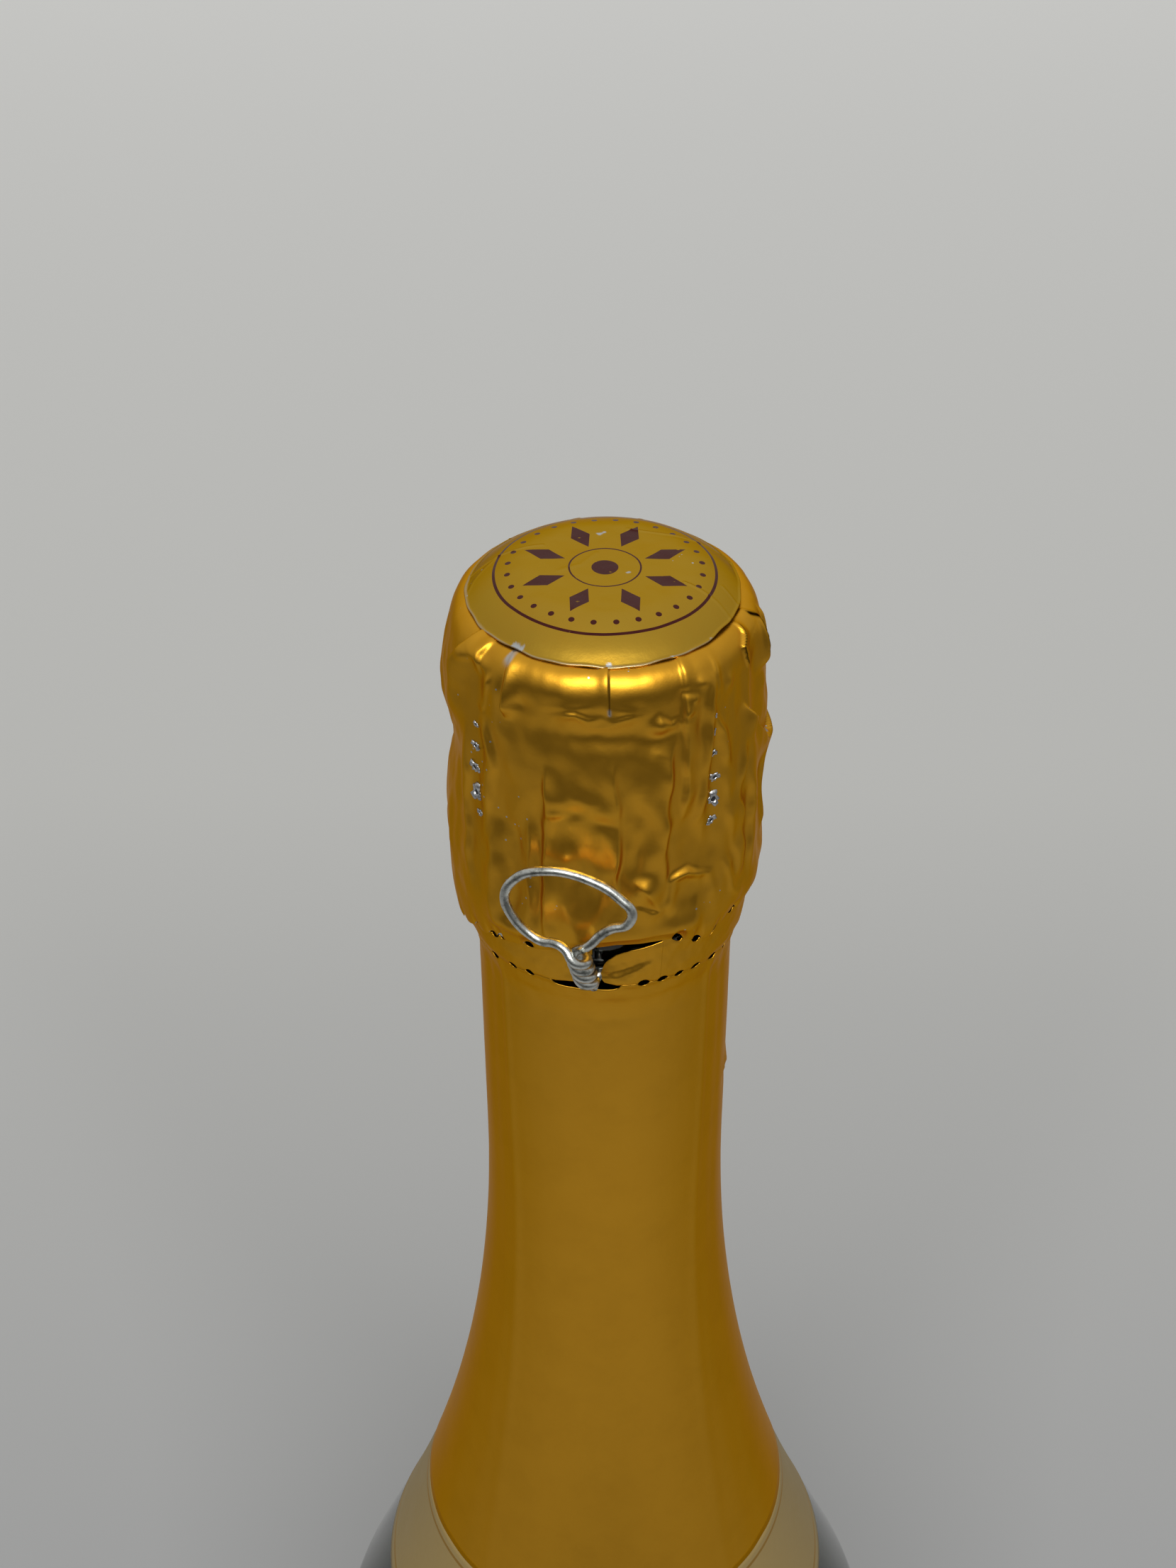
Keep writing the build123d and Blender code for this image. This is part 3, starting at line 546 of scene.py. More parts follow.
# dents as azimuth, height, half width, half height, depth and turn
frontDents = [
    (-16.0, 315.4, 4.4, 1.9, 0.34, 0), (12.0, 315.4, 3.4, 1.8, 0.30, 0),
    (-41.0, 314.2, 2.6, 2.6, 0.42, 20), (36.0, 315.0, 3.0, 2.2, 0.40, -15),
    (-1.0, 310.2, 7.6, 1.7, -0.55, 0), (-17.0, 300.0, 1.2, 0.7, 0.34, 10),
    (-12.0, 300.2, 2.2, 1.0, -0.32, 15), (0.5, 298.8, 1.4, 0.9, -0.25, -20),
    (14.6, 288.9, 1.9, 2.0, 0.62, -25), (31.5, 287.0, 2.5, 1.4, -0.46, 0),
    (19.2, 311.0, 1.0, 0.9, 0.48, 0), (17.0, 308.8, 1.4, 1.5, -0.36, 0), (49.3, 313.4, 0.9, 1.1, 0.42, 0),
    (-56.0, 299.5, 3.2, 4.0, 0.40, 0), (-84.0, 309.5, 6.0, 3.6, 0.42, 0),
    (-86.0, 299.4, 7.0, 3.4, -1.15, 0), (-84.0, 289.0, 6.0, 4.0, 0.35, 0),
    (60.0, 296.0, 4.0, 6.0, 0.30, 0), (30.0, 282.6, 2.4, 1.2, 0.34, 0), (-36.0, 281.6, 2.8, 1.0, 0.36, 0),
    (39.0, 303.5, 1.3, 5.0, -0.28, 0), (-50.0, 301.0, 1.2, 6.0, -0.28, 0),
    (36.0, 293.0, 1.8, 2.6, -0.42, 30), (29.0, 314.7, 0.55, 0.5, -0.20, 0),
    (32.3, 313.7, 0.5, 0.6, 0.24, 20), (30.2, 311.7, 0.7, 0.5, -0.22, 0),
    (36.0, 315.2, 0.8, 0.6, 0.22, -20), (-30.0, 313.0, 1.2, 0.8, -0.20, 10),
    (8.0, 313.6, 1.6, 0.5, 0.16, -12), (-12.0, 313.9, 2.4, 0.5, 0.14, 8),
    (-8.0, 284.6, 3.2, 2.2, 0.22, 0),
]


def sideFeatures():
    # the sides and the back get folds of the same kinds, spread by a fixed seed
    pick = random.Random(23)
    folds, dents = [], []
    for step in range(19):
        azimuth = 76 + step * 11.2 + pick.uniform(-2.5, 2.5)
        top = pick.uniform(313, 318)
        low = top - pick.uniform(4, 8)
        folds.append(([(azimuth, top), (azimuth + pick.uniform(-3, 3), low)], pick.uniform(0.2, 0.5),
                      pick.uniform(0.7, 1.6), pick.uniform(0.2, 0.45)))
        top = pick.uniform(298, 309)
        low = pick.uniform(283, 292)
        drift = pick.uniform(-5, 5)
        middle = (azimuth + 4 + drift * 0.6, (top + low) / 2)
        folds.append(([(azimuth + 4, top), middle, (azimuth + 4 + drift, low)], pick.uniform(0.25, 1.3),
                      pick.uniform(0.25, 1.3), pick.choice((0.34, 0.28, 0.22, -0.2))))
        dents.append((azimuth, pick.uniform(283, 312), pick.uniform(0.9, 3.0), pick.uniform(0.8, 3.2),
                      pick.uniform(-0.25, 0.35), pick.uniform(-40, 40)))
    return folds, dents


sideFolds, sideDents = sideFeatures()
cageLegs = {"azimuths": (-45, 45, 135, 225), "lift": 0.22, "width": 1.5}
# how far folds wander and change, and how high each kind of wrinkle stands
creasing = {"wander": 0.50, "fineWander": 0.14, "wanderDown": 0.7, "depthSwing": 1.1,
            "swell": 0.46, "crests": 0.80, "fineCrests": 0.22, "crumple": 0.045}


def wrinkleNoise(azimuth, height, aroundScale, upScale, seed):
    angle = np.radians(azimuth)
    x, y = np.sin(angle) * hoodRadius / aroundScale, -np.cos(angle) * hoodRadius / aroundScale
    z = height / upScale
    flat = [noise.noise(Vector((a, b, c + seed))) for a, b, c in zip(x.ravel(), y.ravel(), z.ravel())]
    return np.array(flat).reshape(azimuth.shape)


def skirtRelief(azimuth, height):
    wrinkles = partial(wrinkleNoise, azimuth, height)
    around = (azimuth + 100) % 360 - 100  # from -100 right round to 260
    along = np.radians(around) * hoodRadius
    relief = np.zeros(azimuth.shape)
    # folds wander a little and change in depth on their way
    low = 0.2 + 0.8 * smooth(316.0, 311.0, height)
    wander = creasing["wander"] * wrinkles(3.2, 4.2, 61.0) + creasing["fineWander"] * wrinkles(1.4, 2.2, 69.0)
    bentAlong = along + low * wander
    bentHeight = height + low * creasing["wanderDown"] * wrinkles(3.0, 3.6, 65.0)
    depth = 1 + creasing["depthSwing"] * wrinkles(3.6, 5.0, 73.0)
    for points, left, right, lift in frontFolds + sideFolds:
        relief += foldShape(bentAlong, bentHeight, points, left, right, lift) * depth
    for dent in frontDents + sideDents:
        relief += dentShape(along, height, *dent)
    # the cage's legs press through
    legRise = smooth(281, 286, height) * (1 - smooth(309, 315, height))
    for legAzimuth in cageLegs["azimuths"]:
        gap = arcGap(azimuth, legAzimuth, hoodRadius)
        relief += cageLegs["lift"] * np.exp(-(gap / cageLegs["width"]) ** 2) * legRise
    body = smooth(279.2, 283.0, height) * (1 - smooth(312.5, 316.5, height))
    side = 0.25 + 0.75 * smooth(18, 36, np.abs(turnedFrom(azimuth)))
    relief += creasing["swell"] * wrinkles(4.6, 24.0, 3.0) * (0.35 + 0.65 * body)
    # rounded crests that run mostly up and down
    crests = 0.30 - np.hypot(wrinkles(3.8, 17.0, 8.0), 0.11)
    relief += creasing["crests"] * crests * body * side
    crests = 0.22 - np.hypot(wrinkles(3.0, 4.6, 18.0), 0.09)
    relief += creasing["fineCrests"] * crests * (0.25 + 0.75 * body) * side
    relief += creasing["crumple"] * wrinkles(1.2, 2.4, 14.0) * (0.4 + 0.6 * body)
    return relief


# hood
perforations = {
    # azimuths of the holes of both rows, listed one by one at the front and evenly spaced behind
    "upper": [-69.0, -57.5, -47.5, -43.0, -29.6, 28.0, 36.7, 46.0, 57.0, 67.0,
              *(78 + 11.25 * k for k in range(18))],
    "lower": [-63.5, -52.0, -40.4, -31.6, 15.7, 23.7, 31.2, 39.6, 50.0, 61.0, 72.0,
              *(83 + 11.25 * k for k in range(19))],
    "halfWidth": 0.68, "halfHeight": 0.60, "hairline": 0.035, "radius": 17.8,
}


def scallops(azimuth, row):
    cut = np.zeros(azimuth.shape)
    for k, middle in enumerate(perforations[row]):
        wide = perforations["halfWidth"] * (0.85 + 0.3 * ((k * 37) % 10) / 10)
        gap = arcGap(azimuth, middle, perforations["radius"]) / wide
        cut = np.maximum(cut, perforations["halfHeight"] * np.sqrt(np.clip(1 - gap * gap, 0, 1)))
    return cut


# the line between skirt and tear strip, as azimuth and height
hemLine = [(-180, 278.2), (-120, 277.0), (-90, 275.4), (-71, 275.0), (-57, 276.6), (-45, 277.8), (-30, 278.9),
           (-13, 279.7), (-6, 280.9), (4, 281.1), (17, 280.9), (27, 280.3), (36, 278.9), (45, 278.0),
           (52.5, 279.9), (60, 279.2), (85, 278.3), (130, 278.8), (180, 278.2)]


def hemHeight(azimuth):
    turned = turnedFrom(azimuth)
    return 0.10 * np.sin(np.radians(turned) * 17) + lookUp(hemLine, turned)


def stripFoot(azimuth):
    # the line between tear strip and neck foil
    turned = turnedFrom(azimuth)
    drop = 1.8 * smooth(30, 95, turned + 6) + 2.7 * smooth(25, 80, -turned - 6)
    return 273.55 - drop + 0.05 * np.sin(np.radians(turned) * 11)


skirt = {
    # outline from under the disc down to the hem, as radius and height
    "outline": [(14.7, 317.62), (15.35, 317.72), (15.95, 317.60), (16.55, 317.15), (17.05, 316.45),
                (17.42, 315.5), (17.68, 314.1), (17.95, 311.6), (18.22, 308.6), (18.42, 305.0),
                (18.40, 300.5), (18.22, 296.0), (18.32, 291.5), (18.62, 287.0), (18.86, 283.2),
                (18.78, 281.2), (18.42, 279.8), (18.06, 278.9)],
    "frontStep": 0.5, "backStep": 1.6, "rows": 205, "mostRelief": 1.5, "leastRelief": -0.36,
    "puff": 0.10, "pinch": 0.30, "pinchHalf": 0.9, "pinchTall": 1.1, "pinchRadius": 18,
    "liningFrontStep": 1.0, "liningBackStep": 3.2, "liningRows": 103, "liningInward": 0.17,
    # painted shade along cracks (near black) and bare streaks, as azimuths and heights, width and strength
    "crackShade": [([(74.5, 317.7), (79.2, 316.6), (78.2, 315.4), (77.4, 313.9), (77.0, 312.2)], 0.20, 1.0),
             ([(66.6, 317.7), (64.2, 316.7), (60.3, 315.9), (61.2, 314.5), (63.4, 313.2)], 0.09, 0.9),
             ([(1.35, 317.6), (1.35, 315.4), (1.45, 313.2)], 0.07, 0.75)],
    "worn": [([(-40.0, 317.7), (-38.2, 317.4), (-36.4, 317.2)], 0.50, 0.8),
             ([(1.5, 314.2), (1.6, 313.0)], 0.14, 0.9)],
}


def azimuthColumns(frontStep, backStep, half=92):
    front = np.arange(-half, half, frontStep)
    back = np.arange(half, 360 - half, backStep)
    return np.concatenate([front, back])


def outlineAt(outline, share):
    # smooth line through the outline's points, by share of its length, with its outward direction
    line = np.array(outline, float)
    lengths = np.concatenate([[0], np.cumsum(np.hypot(*np.diff(line, axis=0).T))])
    dense = np.linspace(0, lengths[-1], 800)
    radius, height = np.interp(dense, lengths, line[:, 0]), np.interp(dense, lengths, line[:, 1])
    kernel = np.hanning(41)
    kernel /= kernel.sum()
    radius = np.convolve(np.pad(radius, 20, mode="reflect", reflect_type="odd"), kernel, mode="valid")
    height = np.convolve(np.pad(height, 20, mode="reflect", reflect_type="odd"), kernel, mode="valid")
    at = share * lengths[-1]
    r, z = np.interp(at, dense, radius), np.interp(at, dense, height)
    dr, dz = np.interp(at, dense, np.gradient(radius)), np.interp(at, dense, np.gradient(height))
    size = np.hypot(dr, dz)
    return r, z, -dz / size, dr / size


def skirtPoints(columns, shares, inward=0.0):
    r, z, outR, outZ = outlineAt(skirt["outline"], shares)
    azimuth, radius = np.meshgrid(columns, r)
    height = np.meshgrid(columns, z)[1]
    outR, outZ = np.meshgrid(columns, outR)[1], np.meshgrid(columns, outZ)[1]
    hem = hemHeight(azimuth) + scallops(azimuth, "upper") + perforations["hairline"]
    foot = skirt["outline"][-1][1]
    height = height + (hem - foot) * smooth(foot + 4.5, foot, height)
    relief = skirtRelief(azimuth, height) * smooth(0.0, 0.03, shares)[:, None]
    # pinched in at each hole of the hem, puffed between
    pinch = np.zeros(azimuth.shape)
    for middle in perforations["upper"]:
        pinch += np.exp(-(arcGap(azimuth, middle, skirt["pinchRadius"]) / skirt["pinchHalf"]) ** 2)
    rise = skirt["puff"] - skirt["pinch"] * pinch
    relief += rise * np.exp(-((height - hem) / skirt["pinchTall"]) ** 2)
    # dents ease towards a lowest level, so that no wire is touched; it lies deeper higher up
    least = skirt["leastRelief"] - 0.75 * smooth(291.0, 303.0, height) + 0.2 * smooth(281.5, 279.0, height)
    relief = least + np.logaddexp(0, (relief - least) * 7) / 7
    relief = np.minimum(relief, skirt["mostRelief"]) - inward
    return onRound(azimuth, radius + relief * outR, height + relief * outZ)


columns = azimuthColumns(skirt["frontStep"], skirt["backStep"])
skirtGrid = skirtPoints(columns, np.linspace(0, 1, skirt["rows"]))
hoodSkirt = gridPiece("hoodSkirt", skirtGrid, goldFoil, wrap=True)
print("stage: skirt", len(hoodSkirt.data.polygons), "faces")


def paintAttribute(piece, name, values):
    attribute = piece.data.attributes.new(name, "FLOAT", "POINT")
    attribute.data.foreach_set("value", np.asarray(values, np.float32).ravel())


def strokeMask(azimuth, height, strokes):
    along = np.radians((azimuth + 76) % 360 - 76) * hoodRadius
    mask = np.zeros(azimuth.shape)
    for points, width, strength in strokes:
        line = np.clip(foldShape(along, height, points, width, width, 1.6, 0.4), 0, 1)
        mask = np.maximum(mask, strength * line)
    return mask


def cylinderCoordinates(piece):
    co = np.empty(len(piece.data.vertices) * 3, np.float32)
    piece.data.vertices.foreach_get("co", co)
    co = co.reshape(-1, 3).astype(float) * 1000
    return np.degrees(np.arctan2(co[:, 0], -co[:, 1])), np.hypot(co[:, 0], co[:, 1]), co[:, 2]


azimuthAt, _, heightAt = cylinderCoordinates(hoodSkirt)
# bare streaks and the painted shade of the cracks go onto the skirt
for mark in ("crackShade", "worn"):
    paintAttribute(hoodSkirt, mark, strokeMask(azimuthAt, heightAt, skirt[mark]))
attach(hoodSkirt, "hood")
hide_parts("hood_skirt")

liningColumns = azimuthColumns(skirt["liningFrontStep"], skirt["liningBackStep"])
liningGrid = skirtPoints(liningColumns, np.linspace(0.01, 1, skirt["liningRows"]), skirt["liningInward"])
hoodLining = gridPiece("hoodLining", liningGrid, foilInside, wrap=True, flip=True)
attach(hoodLining, "hood")

# disc on top, with its dome, creases and turned edge
disc = {
    "edge": 15.42, "edgeHeight": 317.93, "crown": 2.86, "crownRadius": 12.1, "crownRound": 9.0,
    "rings": 118, "columns": 500, "offset": (-0.15, -0.10), "crumple": 0.16, "fineCrumple": 0.030,
    # the outermost rings turn over, as share of the edge's radius and drop
    "turnFrom": 0.985, "turned": [(0.995, 0), (1.0, 0.05), (1.002, 0.14), (0.996, 0.26)],
    # creases across the disc as points x, y, with the width and height of each
    "creases": [
        ([(-7.0, 4.8), (-12.0, 3.7), (-15.6, 2.5)], 0.16, 0.10),
        ([(-12.0, 3.7), (-14.6, 0.8), (-15.6, -1.6)], 0.2, 0.06),
        ([(2.6, 8.4), (8.6, 7.1), (12.6, 6.0), (15.0, 4.6)], 0.15, 0.10),
        ([(8.7, -3.0), (12.2, -5.2), (13.9, -6.6)], 0.15, 0.12), ([(13.0, -2.2), (15.2, -4.3)], 0.14, 0.10),
        ([(13.2, 6.2), (14.6, 8.0)], 0.2, -0.06), ([(-3.0, 13.0), (-5.5, 15.0)], 0.2, 0.08),
        ([(4.0, 12.5), (5.5, 15.0)], 0.2, 0.07), ([(-10.0, 10.0), (-11.6, 11.0)], 0.2, 0.07),
        ([(-1.0, 3.0), (-2.6, 0.6), (-5.0, -0.8)], 0.35, 0.05),
    ],
    # bare specks as x, y and size
    "worn": [(-9.7, -11.9, 0.62), (-9.0, -12.3, 0.42), (-0.6, 7.2, 0.34), (-0.1, 7.5, 0.24),
             (2.6, -1.1, 0.26), (0.4, -15.3, 0.30), (7.2, -13.6, 0.16), (11.4, -10.2, 0.14)],
}


def planeCrease(x, y, points, width, lift):
    shape = np.zeros(x.shape)
    for p, q in zip(points, points[1:]):
        run = math.dist(p, q)
        ux, uy = (q[0] - p[0]) / run, (q[1] - p[1]) / run
        t = np.clip((x - p[0]) * ux + (y - p[1]) * uy, 0, run)
        distance = np.hypot(x - p[0] - t * ux, y - p[1] - t * uy)
        value = lift * np.exp(-(distance / width) ** 2)
        shape = np.where(abs(value) > abs(shape), value, shape)
    return shape


def flatNoise(x, y, scale, seed):
    flat = [noise.noise(Vector((a / scale, b / scale, seed))) for a, b in zip(x.ravel(), y.ravel())]
    return np.array(flat).reshape(x.shape)


crownLine = filletLine([(0, disc["crown"]), (disc["crownRadius"], disc["crown"]), (disc["edge"], 0)],
                       [disc["crownRound"]], step=0.2)


def discHeight(x, y):
    reach = np.hypot(x, y)
    height = disc["edgeHeight"] + np.interp(reach, crownLine[:, 0], crownLine[:, 1])
    for crease in disc["creases"]:
        height = height + planeCrease(x, y, *crease)
    crumple = disc["crumple"] * flatNoise(x, y, 5.5, 2.5) + disc["fineCrumple"] * flatNoise(x, y, 1.6, 7.5)
    return height + crumple * (1 - (reach / disc["edge"]) ** 8)


angles = np.radians(np.arange(disc["columns"]) * 360 / disc["columns"])
wobble = 0.10 * np.sin(angles * 3 + 0.6) + 0.06 * np.sin(angles * 11) + 0.04 * np.sin(angles * 23 + 1)
discRings = [(share, 0) for share in np.linspace(0, disc["turnFrom"], disc["rings"])] + disc["turned"]
discGrid = []
for share, drop in discRings:
    r = share * (disc["edge"] + wobble)
    x, y = r * np.sin(angles) + disc["offset"][0], -r * np.cos(angles) + disc["offset"][1]
    inner = min(1, disc["turnFrom"] / share) if share else 1
    discGrid.append(np.stack([x, y, discHeight(x * inner, y * inner) - drop], -1))
hoodTop = gridPiece("hoodTop", np.stack(discGrid), goldTop, wrap=True)
tidyMesh(hoodTop)
azimuthAt, radiusAt, _ = cylinderCoordinates(hoodTop)
x, y = radiusAt * np.sin(np.radians(azimuthAt)), -radiusAt * np.cos(np.radians(azimuthAt))
worn = 0.30 * smooth(15.36, 15.44, radiusAt)
for wx, wy, size in disc["worn"]:
    ragged = 0.25 * np.sin(x * 9 + wy) * np.sin(y * 8 + wx)
    worn = np.maximum(worn, smooth(1.15, 0.75, np.hypot(x - wx, (y - wy) * 1.3) / size + ragged))
paintAttribute(hoodTop, "worn", worn)
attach(hoodTop, "hood")
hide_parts("hood_disc")
print("stage: disc", len(hoodTop.data.polygons), "faces")


# punched holes, by geometry nodes
def scatterTree():
    # copies of one shape on points that carry "facing" and "size"
    tree = bpy.data.node_groups.new("scatterOnPoints", "GeometryNodeTree")
    for label, kind, value in (("Geometry", "NodeSocketGeometry", None), ("Shape", "NodeSocketObject", None),
                               ("Size", "NodeSocketFloat", 1.0), ("Turn Seed", "NodeSocketInt", 5),
                               ("Finish", "NodeSocketMaterial", None)):
        socket = tree.interface.new_socket(name=label, in_out="INPUT", socket_type=kind)
        if value is not None:
            socket.default_value = value
    tree.interface.new_socket(name="Geometry", in_out="OUTPUT", socket_type="NodeSocketGeometry")
    start, end = tree.nodes.new("NodeGroupInput"), tree.nodes.new("NodeGroupOutput")
    given = start.outputs
    shape = place(tree, "GeometryNodeObjectInfo", {"Object": given["Shape"]}, transform_space="ORIGINAL")
    facing = place(tree, "GeometryNodeInputNamedAttribute", data_type="FLOAT_VECTOR",
                   values={"Name": "facing"})
    size = place(tree, "GeometryNodeInputNamedAttribute", data_type="FLOAT", values={"Name": "size"})
    align = place(tree, "FunctionNodeAlignRotationToVector", {"Vector": facing.outputs[0]}, axis="Z")
    turn = place(tree, "FunctionNodeRandomValue", {"Seed": given["Turn Seed"]}, data_type="FLOAT",
                 values={2: 0.0, 3: 6.283})
    spin = place(tree, "FunctionNodeAxisAngleToRotation", {"Angle": turn.outputs[1]},
                 values={"Axis": (0, 0, 1)})
    rotate = place(tree, "FunctionNodeRotateRotation", {0: align.outputs[0], 1: spin.outputs[0]},
                   rotation_space="LOCAL")
    scale = maths(tree, "MULTIPLY", size.outputs[0], given["Size"])
    instance = place(tree, "GeometryNodeInstanceOnPoints", {
        "Points": given["Geometry"], "Instance": shape.outputs["Geometry"], "Rotation": rotate.outputs[0],
        "Scale": scale})
    real = place(tree, "GeometryNodeRealizeInstances", {0: instance.outputs[0]})
    dressed = place(tree, "GeometryNodeSetMaterial",
                    {"Geometry": real.outputs[0], "Material": given["Finish"]})
    tree.links.new(dressed.outputs[0], end.inputs[0])
    return tree


def scatter(name, tree, points, facings, sizes, shape, turnSeed, material):
    mesh = bpy.data.meshes.new(name)
    mesh.from_pydata([tuple(p) for p in points], [], [])
    facing = mesh.attributes.new("facing", "FLOAT_VECTOR", "POINT")
    facing.data.foreach_set("vector", np.asarray(facings, np.float32).ravel())
    size = mesh.attributes.new("size", "FLOAT", "POINT")
    size.data.foreach_set("value", np.asarray(sizes, np.float32))
    piece = addObject(name, mesh)
    modifier = piece.modifiers.new("scatter", "NODES")
    modifier.node_group = tree
    keys = {item.name: item.identifier for item in tree.interface.items_tree if item.in_out == "INPUT"}
    for label, value in (("Size", 1.0), ("Turn Seed", turnSeed), ("Shape", shape), ("Finish", material)):
        modifier[keys[label]] = value
    bakeModifiers(piece)
    return piece


def raggedRing(name, inner, outer, rise, lumps, seed):
    # torn rim of a punched hole
    pick = random.Random(seed)
    count = 22
    bump = [1 + pick.uniform(-lumps, lumps) for _ in range(count)]
    points, faces = [], []
    rings = ((outer, 0.0), (outer * 0.82, rise), (inner * 1.08, rise * 0.8), (inner, -rise * 0.5))
    for share, height in rings:
        for k in range(count):
            angle = 2 * math.pi * k / count
            reach = share * (1 + (bump[k] - 1) * (1.0 if share > inner * 1.2 else 0.5))
            points.append((reach * math.cos(angle), reach * math.sin(angle), height * bump[k]))
    for row in range(3):
        for k in range(count):
            n = (k + 1) % count
            faces.append((row * count + k, row * count + n, (row + 1) * count + n, (row + 1) * count + k))
    return newPiece(name, points, faces, goldFoil)


punched = {
    # azimuth, height and size of each hole
    "holes": [
        (-51.9, 307.4, 0.42), (-51.9, 304.6, 0.66), (-52.5, 301.5, 0.92), (-52.2, 298.1, 1.22),
        (-50.8, 295.3, 0.60), (39.4, 311.0, 0.30), (39.8, 308.7, 0.42), (40.5, 305.5, 0.56),
        (41.4, 302.1, 0.74), (41.1, 299.1, 1.06), (41.0, 296.0, 0.74), (128.0, 309.0, 0.4),
        (128.3, 305.8, 0.6), (128.0, 302.4, 0.8), (128.4, 299.0, 0.7), (128.0, 295.8, 0.5),
        (-139.0, 309.0, 0.4), (-139.2, 305.8, 0.6), (-139.0, 302.4, 0.8), (-139.3, 299.0, 0.7),
        (-139.0, 295.8, 0.5),
    ],
    "rimInner": 0.34, "rimOuter": 0.86, "rimRise": 0.20, "rimLumps": 0.42, "rimProud": 0.03,
    # the pit is a near-black disc laid on the foil in each hole: painted shade where the hole opens
    "pitRadius": 0.40, "pitSides": 14, "pitProud": 0.06,
    "pitColours": ((0.003, 0.003, 0.003, 1), (0.02, 0.02, 0.022, 1)),
    "rimColours": ((0.25, 0.26, 0.27, 1), (0.95, 0.95, 0.95, 1)),
}


def surfaceFinder(piece):
    faces = [tuple(p.vertices) for p in piece.data.polygons]
    tree = BVHTree.FromPolygons([v.co for v in piece.data.vertices], faces)

    def find(azimuth, height):
        out = Vector(onRound(np.array(float(azimuth)), 1.0, 0.0)).normalized()
        hit, normal, _, _ = tree.ray_cast(out * 0.03 + Vector((0, 0, height * mm)), -out)
        return hit, normal
    return find


# flat disc that carries the painted shade of a hole
def pitDisc(radius, sides):
    angles = [2 * math.pi * k / sides for k in range(sides)]
    points = [(0, 0, 0)] + [(radius * math.cos(a), radius * math.sin(a), 0) for a in angles]
    return newPiece("holePit", points, [(0, k + 1, (k + 1) % sides + 1) for k in range(sides)], goldFoil)


findSkirt = surfaceFinder(hoodSkirt)
holeShade = mottledMaterial("holeShade", 900.0, punched["pitColours"], Roughness=0.8)[0]
bareFoil, tree, shader, coordinates = mottledMaterial(
    "bareTornFoil", 2600.0, punched["rimColours"], detail=3.0, Metallic=1.0)
addGrain(tree, shader, coordinates, 2500.0, 0.34, 0.1, 0.05)
ringShape = raggedRing("holeRing", punched["rimInner"], punched["rimOuter"], punched["rimRise"],
                       punched["rimLumps"], seed=4)
pitShape = pitDisc(punched["pitRadius"], punched["pitSides"])
scatterNodes = scatterTree()
places = [findSkirt(azimuth, height) for azimuth, height, _ in punched["holes"]]
sizes = [size for _, _, size in punched["holes"]]
normals = [normal for _, normal in places]
for name, proud, shape, turnSeed, material in (("holeRims", punched["rimProud"], ringShape, 5, bareFoil),
                                               ("holePits", punched["pitProud"], pitShape, 9, holeShade)):
    points = [hit + normal * proud * mm for hit, normal in places]
    piece = scatter(name, scatterNodes, points, normals, sizes, shape, turnSeed, material)
    bpy.data.objects.remove(shape)
    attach(piece, "hood")
print("stage: perforations")

# tear strip, tab and neck foil
# the cut-away round the eyelet: a hole, a link down from it and a slot below
window = {"azimuth": -6.1, "height": 275.2, "hole": 1.75, "link": 0.60, "insetWide": 15.0, "insetTo": 16.68,
          "slotHeight": 273.25, "slotLeft": -21.5, "slotRight": 6.2, "slotHalf": 0.62}
strip = {
    "frontStep": 0.42, "backStep": 1.8, "half": 60, "rows": 62, "thickness": 0.14, "radius": 17.0,
    "snap": 0.085,
    # outline as height and radius
    "outline": [(271.0, 16.22), (272.4, 16.62), (274.0, 17.22), (275.6, 17.45), (277.2, 17.58),
                (279.3, 17.82)],
}
tab = {
    "free": -1.6, "root": 22.0, "overlap": 0.3, "columns": 120, "rows": 44, "thickness": 0.14, "proud": 0.02,
    # upper edge as azimuth and height
    "edge": [(-1.6, 275.9), (1.4, 277.3), (4.4, 278.2), (10.3, 279.1), (18.0, 279.9), (22.0, 280.2)],
    "creaseHeight": 274.9, "creaseRise": 3.2, "facet": 0.30, "tipInward": 0.25,
}


def stripRadius(azimuth, height):
    turned = turnedFrom(azimuth)
    radius = lookUp(strip["outline"], height)
    near = np.exp(-(((turned - window["azimuth"]) / window["insetWide"]) ** 2))
    radius = radius - near * np.clip(radius - window["insetTo"], 0, 2)
    return radius + 0.10 * wrinkleNoise(azimuth, height, 2.2, 2.6, 21.0) + 0.05 * wrinkleNoise(
        azimuth, height, 0.8, 1.2, 25.0)


def slotEdge(turned, side):
    # upper (+1) or lower (-1) edge of the slot below the eyelet
    middle = (window["slotLeft"] + window["slotRight"]) / 2
    half = (window["slotRight"] - window["slotLeft"]) / 2
    bulge = np.sqrt(np.clip(1 - ((turned - middle) / half) ** 4, 0.0, 1))
    return window["slotHalf"] * bulge * side + window["slotHeight"]


def footEdge(azimuth, side):
    # upper (+1) or lower (-1) edge of the gap between strip and neck foil
    row = stripFoot(azimuth) + side * (scallops(azimuth, "lower") + perforations["hairline"])
    turned = turnedFrom(azimuth)
    inside = (turned > window["slotLeft"]) & (turned < window["slotRight"])
    return np.where(inside, side * np.maximum(side * slotEdge(turned, side), side * row), row)


def windowDepth(azimuth, height):
    # positive inside the parts of the strip that are cut away
    turned = turnedFrom(azimuth)
    across = np.radians(turned) * strip["radius"] - math.radians(window["azimuth"]) * strip["radius"]
    hole = window["hole"] - np.hypot(across, height - window["height"])
    link = np.minimum(window["link"] - abs(across),
                      np.minimum(height - window["slotHeight"], window["height"] - height))
    # everything right of the stem down to the lower row belongs to the tab or to the slot above it
    room = np.minimum(turned - (window["azimuth"] + 0.5), tab["root"] - turned) * 0.3
    return np.maximum.reduce([hole, link, room])


